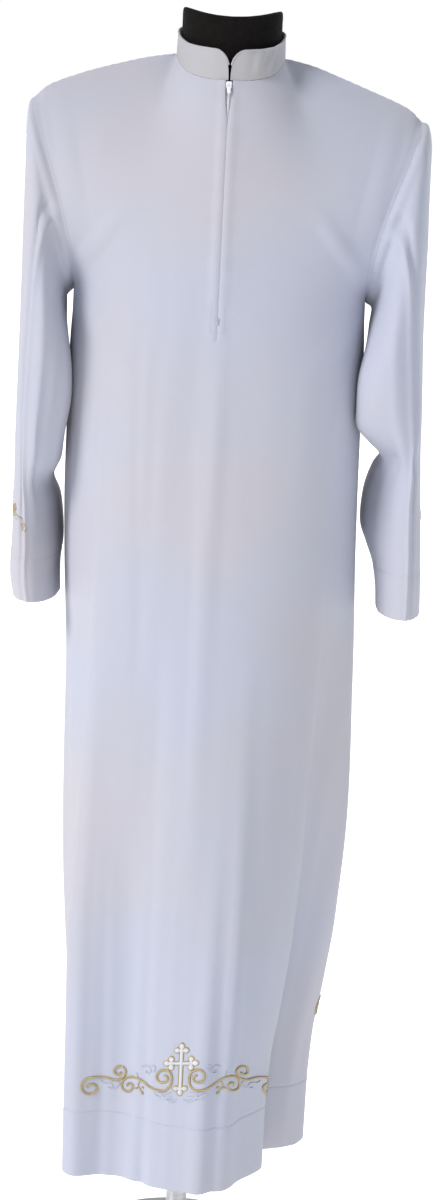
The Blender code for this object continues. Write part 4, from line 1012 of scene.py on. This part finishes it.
lift += 0.0005 * np.exp(-(below_edge / 0.0012) ** 2) - 0.0004 * np.exp(-((below_edge - 0.0032) / 0.0010) ** 2)
points = points + n * lift[..., None]
bm = grid_mesh(points, collar_spread)
face_outwards(bm)
robe_collar = keep(bm, "robe_collar", COLLAR_PAINTED_SHADE_WHITE)
give_wall(robe_collar, 0.0019, 0.0009, segments=3)
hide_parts("collar")
print("neckline", round(neck_long, 3), "m")

# %% [markdown]
# ## A flat patch of cloth
#
# Stitches and embroidery are worked on flat cloth, and then the cloth hangs in folds. We do the same. A
# patch says where each point of the flat work lies on the hung cloth: how far along the cloth it is from
# a middle column, and how high. A decoration is modelled flat, and laying it on moves every vertex to its
# place, out along the cloth's normal by its own thickness.

# %% Patches
def way_along(line, middle, facing=False):
    """Signed lengths along a line of cloth from its middle column.

    facing counts only the way across the picture, as long as the cloth faces forward.
    """
    step = np.diff(line, axis=0)
    long = np.linalg.norm(step, axis=1)
    if facing:
        forward = step[:, 0] > 0.3 * long
        seen = np.concatenate([np.logical_and.accumulate(forward[:middle][::-1])[::-1],
                               np.logical_and.accumulate(forward[middle:])])
        long = np.where(seen, step[:, 0], long)
    way = np.insert(np.cumsum(long), 0, 0.0)
    return way - way[middle]


def patch(points, outward, middle, across, heights, facing=False):
    """The cloth read at even ways across and heights: places and normals."""
    rise = points[..., 2] - HEM
    sign = 1 if rise[-1].mean() > rise[0].mean() else -1
    both = np.concatenate([points, outward], axis=2)
    rows, cols = np.arange(len(points)), np.arange(points.shape[1])
    read = []
    for height in heights:
        at = np.array([np.interp(sign * height, sign * rise[:, c], rows) for c in cols])
        low = np.clip(at.astype(int), 0, len(points) - 2)
        line = both[low, cols] * (1 - (at - low))[:, None] + both[low + 1, cols] * (at - low)[:, None]
        way = way_along(line[:, :3], middle, facing)
        read.append(np.column_stack([np.interp(across, way, line[:, k]) for k in range(6)]))
    return np.asarray(across), np.asarray(heights), np.array(read)


def lay_on(bm, cloth, shift=(0.0, 0.0), tilt=0.0, sag=0.0):
    """Move flat work onto the cloth: x is the way across, y the height, z the thickness.

    The work may be tilted, and may sag where the cloth lies further back than at the work's middle.
    """
    across, heights, read = cloth
    flat = np.array([v.co for v in bm.verts]) + [shift[0], shift[1], 0]
    flat[:, 1] += tilt * (flat[:, 0] - shift[0])
    level = read[len(heights) // 2, :, 1]
    flat[:, 1] -= sag * (np.interp(flat[:, 0], across, level) - np.interp(shift[0], across, level))
    i = np.clip((flat[:, 0] - across[0]) / (across[1] - across[0]), 0, len(across) - 1.001)
    j = np.clip((flat[:, 1] - heights[0]) / (heights[1] - heights[0]), 0, len(heights) - 1.001)
    c, r = i.astype(int), j.astype(int)
    s, t = (i - c)[:, None], (j - r)[:, None]
    both = ((1 - t) * ((1 - s) * read[r, c] + s * read[r, c + 1])
            + t * ((1 - s) * read[r + 1, c] + s * read[r + 1, c + 1]))
    for vert, place in zip(bm.verts, both[:, :3] + unit(both[:, 3:]) * flat[:, 2:]):
        vert.co = place
    bmesh.ops.recalc_face_normals(bm, faces=bm.faces)


front_out, back_out = normals(front_points, (0, -1, 0)), normals(back_points, (0, 1, 0))
sleeve_out = {side: turned_out(grid_normals(points), points - points.mean(axis=1, keepdims=True))
              for side, points in sleeve_points.items()}
MOTIF_STEP = 0.0015
MOTIF_HEIGHTS = np.arange(0.090, 0.250, MOTIF_STEP)
front_patch = patch(front_points, front_out, FRONT_COLUMNS // 2,
                    np.arange(-0.186, 0.187, MOTIF_STEP), MOTIF_HEIGHTS, facing=True)
# the back's patch goes on round the wearer's left side, onto the front
ROUND_SIDE = slice(-2, -160, -1)
back_patch = patch(np.concatenate([back_points, front_points[:, ROUND_SIDE]], axis=1),
                   np.concatenate([back_out, front_out[:, ROUND_SIDE]], axis=1), BACK_COLUMNS // 2,
                   np.arange(-0.186, 0.330, MOTIF_STEP), MOTIF_HEIGHTS)
print("patch of the front:", front_patch[2].shape[:2])

# %% [markdown]
# ## Stitches
#
# A seam's stitches are short threads in a row. One stitch is a cube scaled to a thread's size, and a row
# of them is laid on the cloth like any flat work.

# %% Rows of stitches
STITCH = (0.0024, 0.00042, 0.00036)   # length, width, thickness


def stitch_row(bm, start, end, every=0.0034, size=STITCH):
    """Stitches on a straight flat line from start to end, one in every such length."""
    a, b = Vector((*start, 0)), Vector((*end, 0))
    count = max(1, int((b - a).length / every))
    turn = Matrix.Rotation(math.atan2(b.y - a.y, b.x - a.x), 4, "Z")
    for k in range(count):
        place = a.lerp(b, (k + 0.5) / count)
        bmesh.ops.create_cube(bm, size=1, matrix=Matrix.Translation(place) @ turn @ Matrix.Diagonal((*size, 1)))


def uv_from_places(bm, first, second):
    """A UV map from two of the vertices' own coordinates."""
    flat = flat_layer(bm)
    for face in bm.faces:
        for loop in face.loops:
            loop[flat].uv = (loop.vert.co[first], loop.vert.co[second])


def thread_piece(bm, name, material):
    """Flat work that has been laid on, as a piece with a UV map."""
    uv_from_places(bm, 0, 2)
    return keep(bm, name, material)


def stitched_line(name, points, outward, middle, row, height):
    """One row of stitches at a height, as long as a row of the cloth's points."""
    way = way_along(points[row], middle)
    cloth = patch(points, outward, middle, np.arange(way[0], way[-1], 0.002), height + np.array([-0.003, 0.0, 0.003]))
    bm = bmesh.new()
    stitch_row(bm, (way[0] + 0.002, height), (way[-1] - 0.003, height))
    lay_on(bm, cloth)
    thread_piece(bm, name, WHITE)


CUFF = 0.757                # height of the cuff's edge above the hem
for name, points, outward, middle in (("hem_stitches_front", front_points, front_out, FRONT_COLUMNS // 2),
                                      ("hem_stitches_back", back_points, back_out, BACK_COLUMNS // 2)):
    row = np.argmin(np.abs(points[:, middle, 2] - HEM - HEM_STITCH))
    stitched_line(name, points, outward, middle, row, HEM_STITCH)
for side, label, _ in SIDES:
    stitched_line("cuff_stitches_" + label, sleeve_points[side], sleeve_out[side], 0, -20, CUFF + CUFF_HEM)
print("stitches laid")

# %% [markdown]
# ## The embroidery: cords and satin
#
# The hem carries a budded cross between scrolls. A scroll is a gold cord sewn down, so it is a low tube
# whose ends run out to a point. The cross is padded satin stitch: each arm is a low bar with three round
# buds at its end, with a gold edge that lies a little lower and wider. Everything is drawn flat, in
# millimetres from the crossing.

# %% Cords, bars and buds
MM = 0.001


def coil(centre, first, step, radii):
    """A spiral given by its radius at every quarter turn from the angle first, in degrees."""
    quarters = np.arange(len(radii))
    at = np.linspace(0, len(radii) - 1, 6 * (len(radii) - 1) + 1)
    radius = through(quarters, np.array(radii, float), at)
    angle = np.radians(first + step * at)
    return np.column_stack([centre[0] + radius * np.cos(angle), centre[1] + radius * np.sin(angle)])


def sweep_across(start, end, pull):
    """An S from start to end that leaves and arrives level. pull is how far it runs on at each end."""
    t = np.linspace(0, 1, 14)[1:-1, None]
    lead = np.array([pull, 0.0])
    return hermite(t, 1, np.array(start, float), np.array(end, float), lead, lead)


def cord(bm, line, half, high, scale=1.0, flip=1, taper=3.0, round_steps=10):
    """A low tube along a flat line, in millimetres, that runs out to a point at both ends."""
    line = np.asarray(line, float)
    long = np.linalg.norm(np.diff(line, axis=0), axis=1).sum()
    line = along(line, np.linspace(0, 1, max(10, int(long / 0.9))))
    way = lengths(line)
    ahead = unit(np.gradient(line, axis=0))
    beside = np.column_stack([-ahead[:, 1], ahead[:, 0]])
    from_end = np.minimum(way, way[-1] - way) / taper
    full = np.sqrt(np.clip(1 - (1 - np.clip(from_end, 0, 1)) ** 2, 0, 1))
    turn = np.linspace(0, 2 * math.pi, round_steps + 1)
    out = line[:, None] + beside[:, None] * (half * full[:, None] * np.cos(turn))[..., None]
    up = high * full[:, None] * (0.35 + 0.65 * np.sin(turn)) - 0.1 * (1 - full[:, None])
    points = np.concatenate([out * [flip, 1], up[..., None]], axis=2) * MM * scale
    spread = np.stack(np.broadcast_arrays(turn * half, way[:, None]), axis=2) * MM * scale
    made = lay_grid(bm, points, spread)
    bmesh.ops.remove_doubles(bm, verts=made, dist=2e-6)


def bud(bm, centre, along_way, half, high, scale=1.0, stretch=1.0):
    """A padded round of satin stitch: a flattened ball, longer along one direction."""
    angle = math.atan2(along_way[1], along_way[0])
    size = Vector((half * stretch, half, high)) * MM * scale
    place = (Matrix.Translation(Vector((*centre, 0.15 * high)) * MM * scale) @ Matrix.Rotation(angle, 4, "Z")
             @ Matrix.Diagonal((*size, 1)))
    made = bmesh.ops.create_uvsphere(bm, u_segments=20, v_segments=10, radius=1, matrix=place)["verts"]
    flat = flat_layer(bm)
    for vert in made:
        for loop in vert.link_loops:
            loop[flat].uv = vert.co.xy


print("a coil:", coil((0, 0), 90, -90, (2, 4, 6)).round(1)[[0, 6, 12]].tolist())

# %% [markdown]
# ## The scrolls and the cross
#
# The scrolls come from a few spirals. A long cord curls in beside the cross, swings out and up into an
# arch, and curls in again. A second starts in the outer curl, runs along, and turns up over the arch. The
# right half mirrors the left. Leaves and small curls in white thread fill the places between.

# %% Draw the motif
INNER_CURL = coil((-22, -20), 90, -90, (2.5, 5.5, 6.2, 8.5, 11.0, 10.8, 17.8))
ARCH_CURL = coil((-67, -31), 90, 90, (13.5, 8.9, 7.0, 5.8, 4.0, 1.0))
LONG_CORD = np.vstack([INNER_CURL, sweep_across((-22, -37.8), (-67, -17.5), -64), ARCH_CURL])
OUTER_CURL = coil((-117.5, -33.8), 90, 90, (14.5, 10.3, 8.1, 9.2, 5.5, 2.5))
UPPER_CURL = coil((-80, -10), 0, 90, (8.5, 7.0, 6.5, 4.0, 2.0))
OUTER_CORD = np.vstack([OUTER_CURL[::-1], [(-107, -18), (-96, -19), (-85, -22), (-75.5, -18.5)], UPPER_CURL])
SPRIG = [(-52, -24), (-54.5, -29), (-52.5, -34), (-50, -38)]
DROPS = [((-56.5, -33.5), (-1, -0.6), 1.5), ((-48.5, -33.0), (1, -0.8), 1.5), ((-49.0, -40.5), (0.3, -1), 1.9)]
LEAVES = [([(-35, -40), (-28, -46.5), (-18, -48.0), (-9, -45.5)], 1.5),
          ([(-24, -43), (-17, -51), (-10, -52.5), (-3.5, -50)], 1.3),
          ([(-31, -38.5), (-24, -41.5), (-17, -41.5), (-10.5, -39.5)], 1.1)]
CURLS = [[(-52, -4), (-46, -2.5), (-41, -5), (-38.5, -10), (-41.5, -13.5), (-45, -11.5), (-43.5, -8.5)],
         [(-37, -12), (-33, -7), (-36, -2.5), (-39.5, -4.0)],
         [(-105, -22), (-99, -26.5), (-92, -26), (-88, -30.5), (-91.5, -34), (-95, -31.5)],
         [(-87, -35), (-82, -31), (-79.5, -26), (-82.5, -23.5)], [(-60, -10.5), (-56, -14.5), (-57.5, -19)]]
ARMS = [((0, 1), 27.0), ((0, -1), 44.0), ((1, 0), 22.0), ((-1, 0), 22.0)]


def gold_work(bm, scale):
    """The gold cords, and the gold edge of the cross."""
    for flip in (1, -1):
        for line, half, high in ((LONG_CORD, 1.55, 1.5), (OUTER_CORD, 1.55, 1.5), (SPRIG, 0.8, 1.1)):
            cord(bm, line, half, high, scale, flip)
        for centre, way, half in DROPS:
            bud(bm, (centre[0] * flip, centre[1]), (way[0] * flip, way[1]), half, 1.1, scale, 1.5)
    flat_cross(bm, scale, wider=1.25, high=0.75)


def flat_cross(bm, scale, wider=0.0, high=1.25):
    """A budded cross of bars and buds. wider makes the same cross a little larger all round."""
    for way, long in ARMS:
        way = np.array(way, float)
        beside = np.array([-way[1], way[0]])
        fork = way * (long - 9.3)   # where the two side buds' bar crosses the arm
        cord(bm, [way * s for s in (-2.0, 4.0, long * 0.6, long - 4.5)], 1.85 + wider, high, scale)
        cord(bm, [fork + beside * s for s in (-6.5, -2.0, 2.0, 6.5)], 1.6 + wider, high, scale)
        for s in (-5.6, 5.6):
            bud(bm, fork + beside * s, beside, 3.2 + wider, high * 1.06, scale, 1.08)
        bud(bm, way * (long - 3.8), way, 3.2 + wider, high * 1.06, scale, 1.18)


def white_work(bm, scale):
    """The white cross."""
    flat_cross(bm, scale)
    bud(bm, (0, 0), (1, 0), 2.6, 1.5, scale)


def tone_work(bm, scale):
    """Leaves and small curls in thread of the cloth's own tone."""
    for flip in (1, -1):
        for line, half in LEAVES:
            cord(bm, line, half, 1.3, scale, flip, taper=7.0)
        for line in CURLS:
            cord(bm, line, 0.7, 1.1, scale, flip, taper=4.0, round_steps=8)


def embroider(name, cloth, scale, shift, tilt=0.0, sag=0.0):
    """The whole motif on one patch of cloth: a gold piece, a white piece and one in the cloth's own tone.

    Cords keep the UV map along their length. White threads all run one way, so theirs is the flat place.
    """
    for work, kind, finish in ((gold_work, "gold", GOLD), (white_work, "white", SATIN),
                               (tone_work, "leaves", WHITE)):
        bm = bmesh.new()
        work(bm, scale)
        if finish is not GOLD:
            uv_from_places(bm, 0, 1)
        lay_on(bm, cloth, shift, tilt, sag)
        piece = keep(bm, name + "_" + kind, finish)
        print(piece.name, "faces:", len(piece.data.polygons))


CROSSING = 0.178            # height of the crossing above the hem
embroider("hem_front", front_patch, 1.0, (-0.001, CROSSING), tilt=0.05, sag=0.49)
embroider("hem_back", back_patch, 1.0, (0.162, CROSSING + 0.024), tilt=0.20)

# %% [markdown]
# ## The sleeves' embroidery
#
# The same motif, half as large, runs round the outer side of each sleeve above the cuff. A sleeve's first
# column is its outer side, so the patch is read both ways from there.

# %% Sleeve motifs
SLEEVE_CROSSING, WRAP = 0.900, 60   # height above the hem, and columns to each side of the outer one
for side, label, forward, tilt in ((1, "left", -0.020, 0.0), (-1, "right", 0.025, -0.55)):
    points, outward = (np.concatenate([grid[:, -WRAP:-1], grid[:, :WRAP + 1]], axis=1)
                       for grid in (sleeve_points[side], sleeve_out[side]))
    cloth = patch(points, outward, WRAP - 1, np.arange(-0.105, 0.106, MOTIF_STEP),
                  np.arange(0.815, 0.955, MOTIF_STEP))
    embroider("sleeve_" + label, cloth, 0.5, (forward, SLEEVE_CROSSING), tilt)
print("sleeve motifs laid")

# %% [markdown]
# ## The zip
#
# Behind the slit run two tapes with their teeth. The slider is at the top, and below it the front opens
# in a narrow V, then its edges meet over the teeth. Slider and pull keep the frame's own shapes, with
# their edges rounded. At the lower end the opening is held by a short bar of stitches.

# %% Tapes, teeth, slider, pull
TAPE_COLUMNS = np.linspace(-0.0128, 0.0128, 19)          # across both tapes
TOOTH, TOOTH_EVERY = (0.0030, 0.0013, 0.0009), 0.0013
BAR_HALF, BAR_LOW, BAR_HIGH = 0.0085, 1.112, 1.150        # the stitched box at the lower end
zip_low, zip_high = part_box("zip_tape")
middle_col = FRONT_COLUMNS // 2
on_zip = (front_points[:, middle_col, 2] > zip_low.z) & (front_points[:, middle_col, 2] < zip_high.z)
beside_zip, spine_out = front_points[on_zip], front_out[on_zip, middle_col]
spine = beside_zip[:, middle_col]
tape_points = np.stack([np.column_stack([np.interp(TAPE_COLUMNS, row[:, 0] - row[middle_col, 0], row[:, k])
                                         for k in range(3)]) for row in beside_zip])
tape_points -= spine_out[:, None] * (WALL + 0.0006)
bm = grid_mesh(tape_points, spread_out(tape_points))
face_towards(bm, (0, -1, 0))
tape_cloth = keep(bm, "zip_tape_cloth", WHITE)
give_wall(tape_cloth, 0.0007, 0.0002)
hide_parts("zip_tape")

bm = bmesh.new()
reach = lengths(spine)
for k, way in enumerate(np.arange(0.004, reach[-1] - 0.012, TOOTH_EVERY)):
    spot, out = (np.array([np.interp(way, reach, line[:, i]) for i in range(3)]) for line in (spine, spine_out))
    spot = spot - out * (WALL - 0.0003) + [0.0007 if k % 2 else -0.0007, 0, 0]
    lean = Vector(out).to_track_quat("-Y", "Z").to_matrix().to_4x4()
    bmesh.ops.create_cube(bm, size=1, matrix=Matrix.Translation(spot) @ lean @ Matrix.Diagonal((*TOOTH, 1)))
thread_piece(bm, "zip_teeth", ENAMEL)


def frame_copy(node, name, material, body="gown_on_form", merge=1e-6):
    """The frame's own solid as a piece, its loose triangles merged."""
    bm = bmesh.new()
    bm.from_mesh(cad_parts[node].data)
    bmesh.ops.remove_doubles(bm, verts=bm.verts, dist=merge)
    bmesh.ops.recalc_face_normals(bm, faces=bm.faces)
    return keep(bm, name, material, body)


for node, name, rounding, body in (("zip_slider", "slider_cast", 0.00025, "gown_on_form"),
                                   ("zip_pull", "pull_cast", 0.0002, "pull_tab")):
    piece = frame_copy(node, name, ENAMEL, body)
    round_edges(piece, rounding, degrees=30)
    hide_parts(node)

bm = bmesh.new()
for k in range(9):   # a bar of long stitches, one above the other
    height = 1.1215 + 0.0009 * k
    stitch_row(bm, (-0.0026, height), (0.0026, height), every=0.0052, size=(0.0048, 0.0008, 0.0004))
for x in (-BAR_HALF, BAR_HALF):
    stitch_row(bm, (x, BAR_LOW), (x, BAR_HIGH))
stitch_row(bm, (-BAR_HALF, BAR_LOW), (BAR_HALF, BAR_LOW))
lay_on(bm, patch(front_points, front_out, middle_col,
                 np.arange(-0.03, 0.031, MOTIF_STEP), np.arange(1.09, 1.17, MOTIF_STEP)))
thread_piece(bm, "zip_bar_stitches", WHITE)
print("zip from", round(zip_low.z, 3), "to", round(zip_high.z, 3))

# %% [markdown]
# ## The dress form
#
# The form is a hard shell under black knit. Its outline is the frame's own, so the simplest way is to copy
# the frame's solid, merge its loose triangles, and let Subdivision Surface round it.

# %% Cover the form
form_cover = frame_copy("form_torso", "form_cover", JERSEY, merge=1e-5)
rounding = form_cover.modifiers.new("round", "SUBSURF")
rounding.levels, rounding.render_levels = 1, 1
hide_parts("form_torso")
print("form faces:", len(form_cover.data.polygons))

# %% [markdown]
# ## The stand
#
# Pole and base are turned parts. We draw half of each outline, and the spin operator turns it once round.

# %% Spin the pole and the base
def turned(name, node, outline, steps=96):
    """A turned steel piece from (radius, height) rows, first and last on the axis, in a node's place."""
    bm = bmesh.new()
    line = [bm.verts.new((radius, 0, height)) for radius, height in outline]
    edges = [bm.edges.new(pair) for pair in zip(line, line[1:])]
    bmesh.ops.spin(bm, geom=line + edges, cent=(0, 0, 0), axis=(0, 0, 1), angle=2 * math.pi,
                   steps=steps, use_merge=True)
    bmesh.ops.remove_doubles(bm, verts=bm.verts, dist=1e-6)
    bmesh.ops.recalc_face_normals(bm, faces=bm.faces)
    piece = keep(bm, name, STEEL)
    piece.data.set_sharp_from_angle(angle=math.radians(32))
    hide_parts(node)


base_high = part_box("stand_base")[1]
wide, thick = base_high.x, base_high.z
turned("stand_foot", "stand_base", [
    (0, 0), (wide - 0.003, 0), (wide, 0.0012), (wide, 0.005), (wide - 0.001, 0.0075), (wide - 0.006, thick - 0.003),
    (wide - 0.009, thick - 0.001), (wide - 0.013, thick), (0, thick)])
low, high = (corner.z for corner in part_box("stand_pole"))
turned("stand_tube", "stand_pole", [
    (0, low), (0.044, low), (0.045, low + 0.001), (0.045, low + 0.005), (0.043, low + 0.007), (0.025, low + 0.014),
    (0.0215, low + 0.018), (0.020, low + 0.024), (0.020, low + 0.048), (0.019, low + 0.050), (0.014, low + 0.0505),
    (0.014, high - 0.030), (0.020, high - 0.026), (0.049, high - 0.007), (0.050, high - 0.005), (0.050, high),
    (0, high)])
print("pole from", round(low, 3), "to", round(high, 3))

# %% [markdown]
# ## Floor and light
#
# A plain pale floor, a weak white surround, and three broad suns: a key from the front left, a cooler fill
# from the right, and one behind for the cloth's edges. The camera itself sees a pure white backdrop.

# %% Stage and lights
floor_mesh = bpy.data.meshes.new("floor")
bm = bmesh.new()
bmesh.ops.create_grid(bm, x_segments=1, y_segments=1, size=40)
bm.to_mesh(floor_mesh)
bm.free()
floor = bpy.data.objects.new("floor", floor_mesh)
bpy.context.scene.collection.objects.link(floor)
material, tree, shader = finish_named("pale_floor")
set_sockets(shader, Base_Color=(0.93, 0.93, 0.93, 1), Emission_Color=(1, 1, 1, 1), Emission_Strength=0.60,
            Roughness=0.9, Specular_IOR_Level=0.1)
floor_mesh.materials.append(material)

world = bpy.context.scene.world or bpy.data.worlds.new("surround")
bpy.context.scene.world = world
world.use_nodes = True
tree = world.node_tree
surround, output = (next(node for node in tree.nodes if node.type == kind) for kind in ("BACKGROUND", "OUTPUT_WORLD"))
set_sockets(surround, Color=(0.97, 0.98, 1.0, 1), Strength=0.24)
backdrop = add(tree, "ShaderNodeBackground", Color=(1, 1, 1, 1), Strength=1.0)
seen, either = add(tree, "ShaderNodeLightPath"), add(tree, "ShaderNodeMixShader")
for out, into in ((seen.outputs["Is Camera Ray"], either.inputs["Fac"]),
                  (surround.outputs["Background"], either.inputs[1]),
                  (backdrop.outputs["Background"], either.inputs[2]),
                  (either.outputs["Shader"], output.inputs["Surface"])):
    tree.links.new(out, into)
bpy.context.scene.view_settings.view_transform = "Standard"   # whites stay white


def soft_sun(name, place, strength, spread, colour):
    """A broad far light that shines from a place towards the robe."""
    light = bpy.data.lights.new(name, "SUN")
    light.energy, light.angle, light.color = strength, math.radians(spread), colour
    lamp = bpy.data.objects.new(name, light)
    lamp.rotation_mode = "QUATERNION"
    lamp.rotation_quaternion = (-Vector(place)).to_track_quat("-Z", "Y")
    bpy.context.scene.collection.objects.link(lamp)


soft_sun("key", (-2.8, -1.7, 2.4), 2.75, 20, (1.0, 0.975, 0.965))
soft_sun("fill", (2.4, -2.2, 1.2), 0.55, 50, (0.86, 0.92, 1.0))
soft_sun("back", (0.8, 2.4, 2.2), 0.9, 40, (1.0, 1.0, 1.0))
